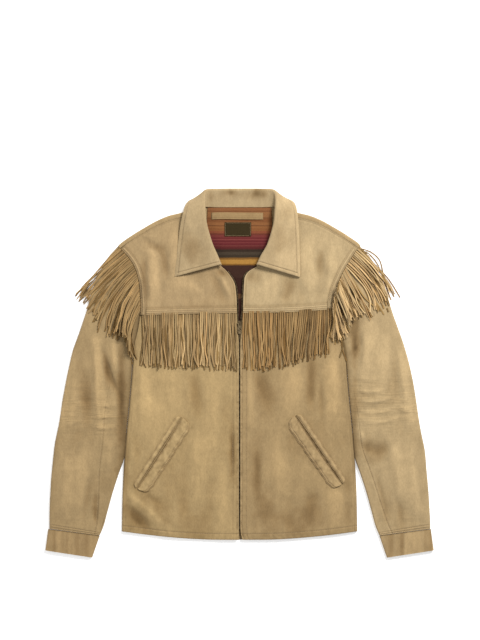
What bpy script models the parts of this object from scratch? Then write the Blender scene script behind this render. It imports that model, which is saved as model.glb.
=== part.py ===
"""A fringed buckskin jacket, laid out flat on its back with the sleeves down.

The jacket lies on z = 0. X runs across it, Y from the hem to the collar and Z up
out of the surface it lies on. All sizes in the tables are millimetres; a piece of
the wearer's left or right side is named _l or _r by where it lies, -X or +X.
"""

import math

import bmesh
import bpy
import numpy as np

MM = 0.001

# Driving dimensions
CLOTH = 1.6            # buckskin of the panels
TRIM = 1.1             # skived leather of bands, welts and loop
SEAM = 0.3             # gap between sewn pieces
CURVED_SEAM = 2.0      # gap at armhole and shoulder, where straight facets meet on a curve
LIE = 7.0              # height of the front over the surface it lies on
EDGE = LIE / 2         # radius of a fold where front meets back
UNDER_LIFT = 4.0       # rise of the back where the collar's fall lies beneath it
BAND = 13.0            # band along the yoke's lower edge
YOKE_OVERLAP = 17.0    # yoke over the front panel
SHOULDER_WRAP = 10.0   # back panel brought forward over the shoulder
WELT_WIDTH = 26.0
LIP_WIDTH = 12.0
POCKET_GAP = 0.4        # half of a pocket's opening
COLLAR_LEATHER = 1.2
COLLAR_GAP = 0.4       # between the upper and the under collar
FRINGE_PILE = 3.0      # depth of the fringe strands lying on each other
FRINGE_TOP = 132.0     # height of the yoke's lower edge, about
FRINGE_INSET = 3.5     # end of the front fringe inside the side of the body
YOKE_HEIGHT = 190.0
BODY_HALF = 253.0      # half width of the back at the ends of the shoulders

# Half width of the body: y, left side, right side (hem, side seam, armhole)
OUTLINE = [
    (-352, 245.5, 245.5), (-328, 245, 245), (-250, 243.5, 243.5), (-180, 240, 240),
    (-120, 235, 235), (-60, 229, 229), (0, 224, 224), (32, 222, 222), (60, 218.5, 218),
    (82, 213, 210), (105, 208.5, 200), (132, 205, 193), (163, 206, 196), (197, 210, 208),
    (231, 223, 226), (266, 253, 251), (300, 290, 290),
]
# Front edge: y, left, right of the centre line (notch, zipped, open)
FRONT_EDGE = [
    (-352, 3.0, 9.0), (-344, 2.2, 6.0), (-332, 1.8, 3.0), (-316, 1.8, 1.8), (-290, 1.8, 1.8),
    (0, 1.8, 1.8), (50, 1.8, 1.8), (62, 1.9, 1.9), (78, 2.7, 2.7), (95, 4.0, 3.6),
    (131, 5.5, 7.0), (171, 7.5, 8.5), (188, 10.5, 9.5), (203, 19, 12), (213, 27, 20),
    (222, 37, 35), (240, 55.5, 54), (268, 69, 68), (305, 80, 80), (334, 84, 84), (360, 86, 86),
]
# Shoulder silhouette: distance from the centre, y
SHOULDER = [
    (0, 347), (60, 347), (90, 343), (118, 335), (150, 327), (175, 316), (198, 303),
    (221, 289), (240, 276), (254, 264),
]
# Lower edge of the yokes: distance from the centre, y on the left, y on the right
YOKE_EDGE = [(0, 126, 126), (110, 124, 128), (210, 121, 135)]
# Hem: distance from the centre, y
HEM = [(0, -345), (80, -344), (170, -337), (250, -327)]

# Sleeve folds, from shoulder to cuff seam: distance from the centre, y
SLEEVE_OUTER = [
    (253.8, 265), (276, 240), (294, 208), (309, 168), (321, 128), (334, 90), (353, 28),
    (366, -34), (375, -97), (386, -159), (392, -221), (396, -284), (396.5, -322),
]
SLEEVE_BESIDE_BODY = (60, 30, 0, -60, -120, -176)
SLEEVE_FREE = [
    (251, -209), (263, -246), (273.5, -284), (284, -321), (290.5, -336),
]
CUFF_OUTER = [(397.5, -323), (403.5, -367)]
CUFF_INNER = [(290.5, -337), (306, -382)]
# Seam of the two-piece sleeve, as a share of the sleeve's width: length, left, right
SLEEVE_SEAM = [
    (0, 0.52, 0.72), (0.3, 0.51, 0.76), (0.5, 0.54, 0.80), (0.67, 0.64, 0.81),
    (0.82, 0.78, 0.80), (1, 0.90, 0.75),
]

# Tips of the shoulder fringe: share of the armhole, left x, left y, right x, right y
SHOULDER_TIPS = [
    (0, 338, 162, 317, 163), (0.15, 325, 148, 296, 147), (0.3, 300, 112, 277, 123),
    (0.45, 272, 85, 256, 118), (0.6, 250, 79, 237, 112), (0.75, 234, 70, 231, 90),
    (0.9, 227, 38, 212, 70), (1, 215, 25, 198, 44),
]
# Tips of the front fringe: distance from the centre, left y, right y
FRONT_TIPS = [(0, 5, 7), (40, 11, 9), (95, 13, 16), (132, 13, 25), (160, 14, 34), (205, 16, 48)]

# Largest folds of the cloth: side, start x y, end x y, half width, height
FOLDS = [
    ("l", 306, 52, 296, -118, 15, 2.6),
    ("l", 284, 30, 257, -52, 14, -0.9),
    ("l", 342, -40, 352, -262, 20, 1.6),
    ("l", 181, 238, 176, 166, 13, 2.4),
    ("l", 210, -40, 196, -120, 16, 1.8),
    ("l", 60, -190, 78, -330, 24, 1.6),
    ("r", 187, 242, 184, 170, 13, 2.2),
    ("r", 300, 20, 268, -118, 18, 2.2),
    ("r", 352, -30, 360, -250, 22, 1.6),
    ("r", 60, -60, 40, -240, 22, 1.5),
    ("r", 198, -250, 176, -326, 22, 1.6),
]

# Collar from the left front end round the back to the right: seam at the neck,
# roll line, outer edge (x y z each) and the radius of the roll
COLLAR = [
    (-41, 223, 10.6, -37, 226, 15, -135, 201, 10.8, 3.3),
    (-51, 241, 9.4, -45, 245, 17, -133, 224, 11.0, 3.3),
    (-64, 269, 9.0, -57, 273, 20, -129, 262, 11.4, 3.3),
    (-75, 308, 10.4, -68, 312, 24, -123, 308, 13.0, 3.3),
    (-76, 334, 12.0, -71, 343, 24, -117, 336, 14.4, 3.4),
    (-74, 345, 11.6, -72, 360, 20, -110, 355, 9.0, 3.5),
    (-68, 346, 9.4, -69, 374, 12, -98, 362, 1.6, 3.6),
    (-58, 346, 7.8, -60, 382, 6.6, -85, 353, 0.0, 3.7),
    (-45, 345.5, 7.3, -46, 384.3, 4.4, -66, 331, 0.0, 3.7),
    (-23, 345.5, 7.2, -24, 384.6, 3.8, -34, 316, 0.0, 3.7),
    (0, 345.5, 7.2, 0, 384.6, 3.7, 0, 313, 0.0, 3.7),
    (23, 345.5, 7.2, 24, 384.6, 3.8, 34, 316, 0.0, 3.7),
    (45, 345.5, 7.3, 47, 384.3, 4.4, 66, 331, 0.0, 3.7),
    (58, 346, 7.8, 61, 382, 6.6, 86, 353, 0.0, 3.7),
    (69, 346, 9.4, 71, 374, 12, 100, 362, 1.6, 3.6),
    (75, 345, 11.6, 75, 360, 20, 114, 355, 9.0, 3.5),
    (77, 334, 12.0, 73, 341, 24, 120, 335, 14.4, 3.4),
    (76, 306, 10.4, 70, 310, 24, 123, 304, 13.0, 3.3),
    (65, 267, 9.0, 58, 270, 20, 125, 258, 11.4, 3.3),
    (50, 241, 9.4, 44, 245, 17, 126, 222, 11.0, 3.3),
    (39, 223, 10.6, 35, 226, 15, 126, 200, 10.8, 3.3),
]

# Pocket openings: side, top x y, bottom x y
POCKETS = [("l", 120, -92, 213, -238), ("r", 117, -88, 213, -228)]

# Zip
ZIP_HALF_TAPE = 15.0
CHAIN_WIDTH = 5.0
CHAIN_Z = (3.0, 5.1)
TAPE_GAP = 0.4         # between the closed chain and a tape
TAPE_Z = (3.6, 4.5)
TEETH_Z = (4.8, 6.8)
TEETH_WIDTH = 3.2
SLIDER_Z = (4.9, 8.5)
SLIDER_HALF = 3.1
BRIDGE_HALF = 1.3
BRIDGE_Z = (8.6, 13.2)
BRIDGE_LIMB = (1.4, 1.1)    # thickness of the bridge's legs and of its top
TAB_REST_Z = 9.1       # height of the tab's free end at rest
ZIP_TOP, ZIP_BOTTOM = 96.0, -323.0
HINGE_Y, HINGE_Z = 106.0, 11.0
TAB_LENGTH, TAB_WIDTH, TAB_THICK = 24.0, 6.4, 1.1

COLOURS = {
    "buckskin": (0.42, 0.29, 0.155), "buckskin_light": (0.48, 0.35, 0.20),
    "fringe": (0.32, 0.21, 0.105), "lining": (0.25, 0.11, 0.06), "loop": (0.38, 0.26, 0.13),
    "label": (0.10, 0.055, 0.025), "tape": (0.10, 0.07, 0.045), "brass": (0.45, 0.34, 0.17),
}


# ---------------------------------------------------------------- curves and heights

def spline(keys, values, at):
    """Values at the places asked for, on a smooth curve through keyed rows."""
    keys = np.asarray(keys, float)
    values = np.asarray(values, float)
    slope = np.gradient(values, keys, axis=0)
    at = np.clip(np.asarray(at, float), keys[0], keys[-1])
    i = np.clip(np.searchsorted(keys, at) - 1, 0, len(keys) - 2)
    span = keys[i + 1] - keys[i]
    t = (at - keys[i]) / span
    if values.ndim > 1:
        t = t[..., None]
        span = span[..., None]
    return ((2 * t**3 - 3 * t**2 + 1) * values[i] + (t**3 - 2 * t**2 + t) * span * slope[i]
            + (3 * t**2 - 2 * t**3) * values[i + 1] + (t**3 - t**2) * span * slope[i + 1])


def column(table, at, number=1):
    """One column of a table, as a smooth function of its first column."""
    rows = np.array(table, float)
    return spline(rows[:, 0], rows[:, number], at)


def along(points, share):
    """Points at shares of the length of a smooth curve."""
    points = np.asarray(points, float)
    steps = np.linalg.norm(np.diff(points, axis=0), axis=1)
    length = np.concatenate([[0], np.cumsum(steps)])
    return spline(length / length[-1], points, share)


def ease(value, low, high):
    """0 below low, 1 above high, smooth between."""
    t = np.clip((np.asarray(value, float) - low) / (high - low), 0, 1)
    return t * t * (3 - 2 * t)


def lift(x, y):
    """How far the collar's fall, lying beneath, raises the back near the neck."""
    return UNDER_LIFT * ease(y, 246, 272) * (1 - ease(np.abs(x), 101, 128))


def folds(side, x, y):
    """Height of the folds of one side, which are troughs where it is negative."""
    height = np.zeros_like(x)
    for fold_side, x0, y0, x1, y1, half_width, rise in FOLDS:
        if fold_side != side:
            continue
        run = np.array([x1 - x0, y1 - y0], float)
        share = ((x - x0) * run[0] + (y - y0) * run[1]) / run.dot(run)
        near = np.clip(share, 0, 1)
        away = np.hypot(x - x0 - near * run[0], y - y0 - near * run[1])
        across = np.cos(np.clip(away / half_width, 0, 1) * math.pi / 2) ** 2
        height += rise * across * np.sin(np.clip(near * 0.8 + 0.1, 0, 1) * math.pi) ** 0.5
    return height


def outline(side, y):
    return column(OUTLINE, y, 1 if side == "l" else 2)


def front_edge(side, y):
    return column(FRONT_EDGE, y, 1 if side == "l" else 2)


def yoke_edge(side, x):
    return column(YOKE_EDGE, x, 1 if side == "l" else 2)


# ---------------------------------------------------------------- solids

def material(name):
    """The named Principled material, made once."""
    made = bpy.data.materials.get(name)
    if made:
        return made
    made = bpy.data.materials.new(name)
    made.use_nodes = True
    shader = made.node_tree.nodes["Principled BSDF"]
    shader.inputs["Base Color"].default_value = (*COLOURS[name], 1)
    shader.inputs["Roughness"].default_value = 0.35 if name == "brass" else 0.9
    shader.inputs["Metallic"].default_value = 1.0 if name == "brass" else 0.0
    return made


def add_solid(name, points, faces, finish, origin=(0, 0, 0)):
    """One closed object from points in millimetres."""
    start = np.array(origin, float)
    mesh = bpy.data.meshes.new(name)
    mesh.from_pydata(((np.asarray(points) - start) * MM).tolist(), [], faces)
    bm = bmesh.new()
    bm.from_mesh(mesh)
    bmesh.ops.recalc_face_normals(bm, faces=bm.faces)
    if bm.calc_volume(signed=True) < 0:
        bmesh.ops.reverse_faces(bm, faces=bm.faces)
    bm.to_mesh(mesh)
    bm.free()
    solid = bpy.data.objects.new(name, mesh)
    solid.location = start * MM
    mesh.materials.append(material(finish))
    bpy.context.scene.collection.objects.link(solid)
    mesh.shade_smooth()
    mesh.set_sharp_from_angle(angle=math.radians(50))
    return solid


def normals(grid):
    """Unit normals of a grid of points, rows by columns."""
    down = np.gradient(grid, axis=0)
    across = np.gradient(grid, axis=1)
    normal = np.cross(across, down)
    return normal / np.linalg.norm(normal, axis=2, keepdims=True)


def upward(grid):
    """Unit normals of a lying panel, facing up."""
    normal = normals(grid)
    return normal if normal[..., 2].mean() > 0 else -normal


def wall(name, outer, inner, finish, side="", ring=False):
    """A closed wall between two grids of points, mirrored to -X for the left side."""
    rows, cols = outer.shape[:2]
    points = np.concatenate([outer.reshape(-1, 3), inner.reshape(-1, 3)])
    if side == "l":
        points = points * (-1, 1, 1)
    back = rows * cols
    faces = []
    for r in range(rows - 1):
        for c in range(cols if ring else cols - 1):
            a, b = r * cols + c, r * cols + (c + 1) % cols
            far, near = b + cols, a + cols
            faces += [(a, b, far), (a, far, near)]
            faces += [(a + back, far + back, b + back), (a + back, near + back, far + back)]
    for c in range(cols if ring else cols - 1):
        for r, flip in ((0, 1), (rows - 1, -1)):
            a, b = r * cols + c, r * cols + (c + 1) % cols
            faces.append((a, a + back, b + back, b)[::flip])
    if not ring:
        for r in range(rows - 1):
            for c, flip in ((0, -1), (cols - 1, 1)):
                a, b = r * cols + c, (r + 1) * cols + c
                faces.append((a, a + back, b + back, b)[::flip])
    return add_solid(name, points, faces, finish)


def raised(grid, amount):
    """A grid moved out along its normals."""
    return grid + upward(grid) * amount


def box_points(low, high):
    """Corners of a box, in the order that BOX_FACES reads."""
    return [(x, y, z) for z in (low[2], high[2]) for y in (low[1], high[1])
            for x in (low[0], high[0])]


BOX_FACES = [(0, 2, 3, 1), (4, 5, 7, 6), (0, 1, 5, 4), (2, 6, 7, 3), (0, 4, 6, 2), (1, 3, 7, 5)]


# ---------------------------------------------------------------- flat panels

def panel_grid(low, high, outer, inner, across, up):
    """x and y of a panel between four edges, for shares across and up."""
    u, v = np.meshgrid(across, up)
    x = 150 + 0 * u
    y = 0 * v
    for _ in range(12):
        y = low(x) + (high(x) - low(x)) * v
        x = outer(y) + (inner(y) - outer(y)) * u
    return x, y


def turned_edge(side, x, y):
    """Height lost where the front turns down to the side seam, below the armhole."""
    radius = LIE - CLOTH - SEAM
    inside = np.clip(1 - (outline(side, y) - x) / radius, 0, 1)
    drop = radius * (1 - np.sqrt(np.clip(1 - inside**2, 0, 1)))
    return drop * (1 - ease(y, 44, 66))


def front_top(side, x, y):
    """Height of the front panel's outer surface."""
    return LIE + folds(side, x, y) - turned_edge(side, x, y)


def front_panel(side):
    """Front, from the hem to just under the yoke."""
    across = np.array([0, 0.003, 0.01, 0.0235, 0.1, 0.24, 0.42, 0.62, 0.82, 1])
    x, y = panel_grid(
        lambda x: column(HEM, x), lambda x: yoke_edge(side, x) + YOKE_OVERLAP - 3,
        lambda y: outline(side, y) - SEAM / 2, lambda y: front_edge(side, y),
        across, np.linspace(0, 1, 14))
    outer = np.dstack([x, y, front_top(side, x, y)])
    wall(f"front_{side}", outer, raised(outer, -CLOTH), "buckskin", side)


def yoke_points(side):
    """Outer points of a yoke; its first column and row are the bands' width."""
    across = np.array([0, 0.05, 0.12, 0.2, 0.3, 0.42, 0.56, 0.7, 0.85, 1])
    up = np.concatenate([[0, BAND / YOKE_HEIGHT, YOKE_OVERLAP / YOKE_HEIGHT], np.linspace(0.16, 1, 10)])
    x, y = panel_grid(
        lambda x: yoke_edge(side, x), lambda x: column(SHOULDER, x) - SHOULDER_WRAP - CURVED_SEAM,
        lambda y: outline(side, y) - SEAM / 2, lambda y: front_edge(side, y), across, up)
    edge = yoke_edge(side, x)
    step = CLOTH + SEAM
    over = step * (1 - ease(y, edge + YOKE_OVERLAP, edge + YOKE_OVERLAP + 22))
    return np.dstack([x, y, LIE + over + folds(side, x, y) + lift(x, y)])


def yoke(side):
    """Yoke with the bands sewn along its lower edge and its armhole."""
    outer = yoke_points(side)
    wall(f"yoke_{side}", outer, raised(outer, -CLOTH), "buckskin_light", side)
    low = raised(outer, SEAM)[:2, 1:]
    high = raised(outer, SEAM + TRIM)[:2, 1:]
    low[:, 0, 0] -= SEAM
    high[:, 0, 0] -= SEAM
    wall(f"yoke_band_{side}", high, low, "buckskin_light", side)
    low = raised(outer, SEAM)[:, :2]
    high = raised(outer, SEAM + TRIM)[:, :2]
    wall(f"armhole_band_{side}", high, low, "buckskin_light", side)


def back_panel():
    """Back, with its upper edge brought forward over both shoulders."""
    neck, wrap_start = 72.0, 92.0
    half = [0, 24, 48, neck, wrap_start, 118, 150, 190, 225, BODY_HALF]
    u = np.array([-x for x in half[:0:-1]] + half) / BODY_HALF
    flat_rows = np.array([0, 0.14, 0.28, 0.42, 0.5, 0.56, 0.6, 0.64, 0.7, 0.76, 0.81, 0.86, 0.92,
                          0.965, 1])
    turn_rows = np.linspace(0, 1, 8)[1:]
    outer = np.zeros((len(flat_rows) + len(turn_rows), len(u), 3))
    inner = np.zeros_like(outer)
    for c, share in enumerate(u):
        side = "l" if share < 0 else "r"
        place = abs(share) * BODY_HALF
        wraps = place > neck + 1
        low = float(column(HEM, place))
        top = shoulder_y(side, abs(share)) if wraps else 344.9
        bend = top - EDGE if wraps else top - 3
        y_flat = low + (bend - low) * flat_rows
        if wraps:
            turned = turn_rows * (math.pi * EDGE + bend + SEAM / 2
                                   - shoulder_y(side, abs(share), SHOULDER_WRAP))
        else:
            turned = turn_rows * 3
        for r in range(outer.shape[0]):
            if r < len(flat_rows):
                y, z, y_in, z_in = y_flat[r], 0, y_flat[r], CLOTH
            elif wraps:
                y, z = turn_point(turned[r - len(flat_rows)], EDGE)
                y_in, z_in = turn_point(turned[r - len(flat_rows)], EDGE, EDGE - CLOTH)
                y, y_in = y + bend, y_in + bend
            else:
                y = bend + turned[r - len(flat_rows)]
                z, y_in, z_in = 0, y, CLOTH
            reach = abs(share) * (float(outline(side, y)) - SEAM / 2)
            x = math.copysign(reach, share) if share else 0.0
            raise_by = float(lift(x, min(y, top)))
            outer[r, c] = (x, y, z + raise_by)
            inner[r, c] = (x, y_in, z_in + raise_by)
    wall("back", outer, inner, "buckskin")


def shoulder_y(side, share, inset=0.0):
    """y of the shoulder's silhouette, or of a line inside it, at a share of the width."""
    y = 290.0
    for _ in range(20):
        y = float(column(SHOULDER, share * outline(side, y))) - inset
    return y


def turn_point(distance, centre, radius=None):
    """Place on a half turn followed by a flat run back, for a distance along it."""
    radius = centre if radius is None else radius
    angle = min(distance / centre, math.pi)
    past = max(distance - math.pi * centre, 0)
    return radius * math.sin(angle) - past, centre - radius * math.cos(angle)


def lining():
    """Back lining, as far as the open neck and front show it."""
    across = np.linspace(-1, 1, 9)
    y = np.linspace(96, 344.7, 8)
    u, v = np.meshgrid(across, y)
    reach = spline([96, 220, 300, 345], [34, 66, 68, 66], v)
    x = u * reach
    z = CLOTH + SEAM + lift(x, v)
    low = np.dstack([x, v, z])
    high = np.dstack([x, v, z + 1.2])
    wall("lining_back", high, low, "lining")


def neck_trim():
    """Hanger loop and bare label on the lining, below the back neck seam."""
    under = CLOTH + SEAM + 1.2 + SEAM
    u, v = np.meshgrid(np.linspace(-58, 49, 7), np.linspace(321, 334, 3))
    z = under + lift(u, v)
    wall("hanger_loop", np.dstack([u, v, z + TRIM]), np.dstack([u, v, z]), "loop")
    u, v = np.meshgrid(np.linspace(-31, 24, 4), np.linspace(285, 314, 9))
    z = under + lift(u, v)
    wall("neck_label", np.dstack([u, v, z + 0.8]), np.dstack([u, v, z]), "label")


# ---------------------------------------------------------------- sleeves and cuffs

def sleeve_plan(side, share, length):
    """x and y at a share of the sleeve's width and of its length from the armhole."""
    share = np.asarray(share, float)
    y0 = 265 + (SLEEVE_BESIDE_BODY[0] - 265) * share
    start = np.stack([outline(side, y0) + CURVED_SEAM, y0], axis=-1)
    outer = along(SLEEVE_OUTER, length)
    beside = [(float(outline(side, y)) + CURVED_SEAM, y) for y in SLEEVE_BESIDE_BODY]
    inner = along(beside + SLEEVE_FREE, length)
    corner_a, corner_b = np.array(SLEEVE_OUTER[-1]), np.array(SLEEVE_FREE[-1])
    s, t = share[..., None], length
    end = corner_a + (corner_b - corner_a) * s
    first = np.array([float(outline(side, 265.0)) + CURVED_SEAM, 265.0])
    last = np.array(beside[0])
    plain = (1 - t) * ((1 - s) * first + s * last) + t * end
    return (1 - t) * start + t * end + (1 - s) * outer + s * inner - plain


def ring_point(side, kind, value, length, plan, thickness):
    """Outer and inner points of a flattened tube at one place round it.

    kind is low or high for the lower and upper walls at a share of the width, or
    outer or inner for the folds at their edges, where value is an angle.
    """
    first, last = plan(0.0), plan(1.0)
    width = float(np.linalg.norm(last - first))
    if kind in ("low", "high"):
        rise = 0.0 if kind == "low" else LIE
        flat = plan(value)
        ripple = float(folds(side, np.array(flat[0]), np.array(flat[1]))) if rise else 0.0
        sign = -1 if kind == "high" else 1
        return ((*flat, rise + ripple), (*flat, rise + ripple + sign * thickness))
    result = []
    for radius in (EDGE, EDGE - thickness):
        inset = (EDGE - radius * math.cos(value)) / width
        place = plan(inset if kind == "outer" else 1 - inset)
        result.append((*place, EDGE + radius * math.sin(value)))
    return tuple(result)


def tube_part(name, side, places, lengths, plan_at, finish, ring=False):
    """A wall through places round a flattened tube, along its length."""
    outer, inner = [], []
    for length in lengths:
        def plan(share, length=length):
            return plan_at(share, length)
        made = [ring_point(side, kind, value(length), length, plan, CLOTH)
                for kind, value in places]
        outer.append([m[0] for m in made])
        inner.append([m[1] for m in made])
    wall(name, np.array(outer), np.array(inner), finish, side, ring)


def fixed(value):
    return lambda length: value


def edge_turn(kind, angles):
    return [(kind, fixed(math.radians(angle))) for angle in angles]


def sleeve(side):
    """Sleeve in two pieces, its upper one reaching round the outer fold."""
    lengths = np.linspace(0, 1, 14)
    number = 1 if side == "l" else 2
    half_gap = 0.0013

    def seam(length):
        return float(column(SLEEVE_SEAM, length, number))

    def plan_at(share, length):
        return sleeve_plan(side, share, length)

    top = [("low", fixed(0.2 - half_gap)), ("low", fixed(0.09))]
    top += edge_turn("outer", (-90, -50, 0, 50, 90))
    top += [("high", lambda t, f=f: seam(t) * f) for f in (0.16, 0.37, 0.58, 0.79)]
    top += [("high", lambda t: seam(t) - half_gap)]
    tube_part(f"sleeve_top_{side}", side, top, lengths, plan_at, "buckskin")
    under = [("high", lambda t: seam(t) + half_gap), ("high", lambda t: 0.5 + seam(t) / 2)]
    under += edge_turn("inner", (90, 50, 0, -50, -90))
    under += [("low", fixed(f)) for f in (0.86, 0.64, 0.42, 0.2 + half_gap)]
    tube_part(f"sleeve_under_{side}", side, under, lengths, plan_at, "buckskin")


def cuff(side):
    """Straight cuff, an open flattened ring."""
    def plan_at(share, length):
        outer = np.array(CUFF_OUTER[0]) * (1 - length) + np.array(CUFF_OUTER[1]) * length
        inner = np.array(CUFF_INNER[0]) * (1 - length) + np.array(CUFF_INNER[1]) * length
        return outer + (inner - outer) * np.asarray(share)

    places = edge_turn("outer", (-90, -50, 0, 50, 90))
    places += [("high", fixed(f)) for f in (0.3, 0.6)]
    places += edge_turn("inner", (90, 50, 0, -50, -90))
    places += [("low", fixed(f)) for f in (0.6, 0.3)]
    tube_part(f"cuff_{side}", side, places, np.linspace(0, 1, 4), plan_at, "buckskin", ring=True)


# ---------------------------------------------------------------- collar

def collar_section(row):
    """Points of the collar's outer face, from the neck seam over the roll to its edge."""
    seam, roll, edge = (np.array(row[i:i + 3]) for i in (0, 3, 6))
    radius = row[9]
    down = (seam - roll) / np.linalg.norm(seam - roll)
    out = (edge - roll) / np.linalg.norm(edge - roll)
    within = (down + out) / np.linalg.norm(down + out)
    # Where the roll lies low, at the back, the fall turns straight down under the stand.
    lying = 1 - float(ease(roll[2], 5, 15))
    turn = (out - down) * (1 - lying, 1 - lying, 1) - np.array([0, 0, 0.3]) * lying
    turn -= within * np.dot(turn, within)
    turn /= np.linalg.norm(turn)
    centre = roll + within * radius
    reach = (math.pi - math.acos(float(np.clip(np.dot(down, out), -1, 1)))) / 2
    arc = [centre + radius * (turn * math.sin(a) - within * math.cos(a))
           for a in np.linspace(-reach, reach, 5)]
    stand = [seam + (arc[0] - seam) * f for f in (0, 0.5)]
    fall = [arc[-1] + (edge - arc[-1]) * f for f in (0.33, 0.67, 1)]
    return np.array(stand + arc + fall)


def collar():
    """Upper and under collar, folded over the roll line."""
    rows = np.array(COLLAR, float)
    stations = np.linspace(0, len(rows) - 1, 33)
    outer = np.array([collar_section(row) for row in spline(range(len(rows)), rows, stations)])
    outer[..., 2] = np.maximum(outer[..., 2], 0)
    out = normals(outer)
    if out[len(out) // 4, -2, 2] < 0:
        out = -out
    layers = [0, COLLAR_LEATHER, COLLAR_LEATHER + COLLAR_GAP, 2 * COLLAR_LEATHER + COLLAR_GAP]
    grids = [outer - out * depth for depth in layers]
    wall("collar_upper", grids[0], grids[1], "buckskin_light")
    wall("collar_under", grids[2], grids[3], "buckskin_light")


# ---------------------------------------------------------------- fringe and pockets

def front_fringe(side):
    """Fringe hanging from the yoke's lower edge, as a plain solid of its reach."""
    number = 1 if side == "l" else 2
    x, y = panel_grid(
        lambda x: column(FRONT_TIPS, x, number), lambda x: yoke_edge(side, x) - SEAM,
        lambda y: outline(side, FRINGE_TOP) - FRINGE_INSET,
        lambda y: front_edge(side, y) + 1, np.linspace(0, 1, 9), np.linspace(0, 1, 4))
    depth = FRINGE_PILE * (0.7 + 0.3 * ease(y, 20, 90))
    low = np.dstack([x, y, LIE + SEAM + 0 * x])
    wall(f"fringe_front_{side}", low + np.dstack([0 * x, 0 * y, depth]), low, "fringe", side)


def shoulder_fringe(side):
    """Fringe from the armhole over the sleeve head, as a plain solid of its reach."""
    column_x = 1 if side == "l" else 3
    share = np.linspace(0, 1, 10)
    y0 = 262 + (130 - 262) * share
    level = LIE + SEAM + 0 * y0
    root = np.stack([outline(side, y0) + CURVED_SEAM, y0, level], axis=1)
    tip = np.stack([column(SHOULDER_TIPS, share, column_x),
                    column(SHOULDER_TIPS, share, column_x + 1), level], axis=1)
    v = np.array([0, 0.5, 1])[:, None, None]
    low = root + (tip - root) * v
    high = low + np.array([0, 0, 1.0]) * (FRINGE_PILE - 0.8 * v**2)
    wall(f"fringe_shoulder_{side}", high, low, "fringe", side)


def pocket(side, x0, y0, x1, y1):
    """Slanted welt pocket: a wide welt on the centre side and a narrow lip."""
    start, end = np.array([x0, y0], float), np.array([x1, y1], float)
    run = (end - start) / np.linalg.norm(end - start)
    inward = np.array([-abs(run[1]), -abs(run[0])])
    for name, near, far in (("welt", -POCKET_GAP, -POCKET_GAP - WELT_WIDTH),
                            ("lip", POCKET_GAP, POCKET_GAP + LIP_WIDTH)):
        corners = []
        for distance in (near, far):
            shift = -inward * distance
            corners.append([start + shift, (start + end) / 2 + shift, end + shift])
        plan = np.array(corners)
        low = np.dstack([plan, np.full(plan.shape[:2], LIE + SEAM)])
        high = low + (0, 0, TRIM)
        wall(f"pocket_{name}_{side}", high, low, "buckskin", side)


# ---------------------------------------------------------------- zip

def zip_tapes():
    """Woven tapes beneath the front edges, with the teeth of the open stretch."""
    for side in "lr":
        y = np.concatenate([np.linspace(ZIP_BOTTOM, ZIP_TOP, 5), np.linspace(112, 214, 9)])
        edge = front_edge(side, y)
        tip = np.where(y > ZIP_TOP + 1, edge - 3.0, CHAIN_WIDTH / 2 + TAPE_GAP)
        x = np.stack([tip, edge + ZIP_HALF_TAPE], axis=1)
        z = np.full_like(x, TAPE_Z[0])
        grid = np.dstack([x, np.stack([y, y], axis=1), z])
        wall(f"zip_tape_{side}", grid + (0, 0, TAPE_Z[1] - TAPE_Z[0]), grid, "tape", side)
        above = y > ZIP_TOP + 1
        x = np.stack([tip[above] - 1, tip[above] - 1 + TEETH_WIDTH], axis=1)
        grid = np.dstack([x, np.stack([y[above], y[above]], axis=1), np.full_like(x, TEETH_Z[0])])
        wall(f"zip_teeth_{side}", grid + (0, 0, TEETH_Z[1] - TEETH_Z[0]), grid, "brass", side)


def zip_chain():
    """Closed teeth below the slider, and the bottom stop."""
    half = CHAIN_WIDTH / 2
    low, high = (-half, ZIP_BOTTOM + 6, CHAIN_Z[0]), (half, ZIP_TOP, CHAIN_Z[1])
    add_solid("zip_chain", box_points(low, high), BOX_FACES, "brass")
    low, high = (-half, ZIP_BOTTOM, CHAIN_Z[0] - 0.3), (half, ZIP_BOTTOM + 5.6, CHAIN_Z[1] + 0.2)
    add_solid("zip_bottom_stop", box_points(low, high), BOX_FACES, "brass")


def extrude_outline(name, loop, low, high, axis, finish, origin=(0, 0, 0)):
    """A prism of an outline, along X or Z."""
    points = []
    for level in (low, high):
        for a, b in loop:
            points.append((level, a, b) if axis == "x" else (a, b, level))
    count = len(loop)
    faces = [tuple(range(count))[::-1], tuple(range(count, 2 * count))]
    faces += [(i, (i + 1) % count, (i + 1) % count + count, i + count) for i in range(count)]
    return add_solid(name, points, faces, finish, origin)


def zip_slider():
    """Slider: a body in the gap of the fronts, and the bridge that holds the tab."""
    bottom, top = ZIP_TOP + 1.5, ZIP_TOP + 14.0
    bridge_low, bridge_high = HINGE_Y - 3.4, HINGE_Y + 4.0
    (leg, beam), (deck, crown) = BRIDGE_LIMB, BRIDGE_Z
    eye = [(bridge_high - leg, deck + 0.2), (bridge_low + leg, deck + 0.2),
           (bridge_low + leg, crown - beam), (bridge_high - leg, crown - beam)]
    rim = [(bottom, SLIDER_Z[0]), (top, SLIDER_Z[0]), (top, deck), (bridge_high, deck),
           (bridge_high, crown), (bridge_low, crown), (bridge_low, deck), (bottom, deck)]
    body = extrude_outline("zip_slider", rim, -BRIDGE_HALF, BRIDGE_HALF, "x", "brass")
    plate = [(bottom, SLIDER_Z[0]), (top, SLIDER_Z[0]), (top, SLIDER_Z[1]), (bottom, SLIDER_Z[1])]
    wings = extrude_outline("zip_slider_wings", plate, -SLIDER_HALF, SLIDER_HALF, "x", "brass")
    window = extrude_outline("zip_slider_eye", eye, -3, 3, "x", "brass")
    for other, action in ((wings, "UNION"), (window, "DIFFERENCE")):
        cut = body.modifiers.new(action.title(), "BOOLEAN")
        cut.object = other
        cut.operation = action
        cut.solver = "EXACT"
        other.hide_render = True
        other.display_type = "WIRE"


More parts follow.
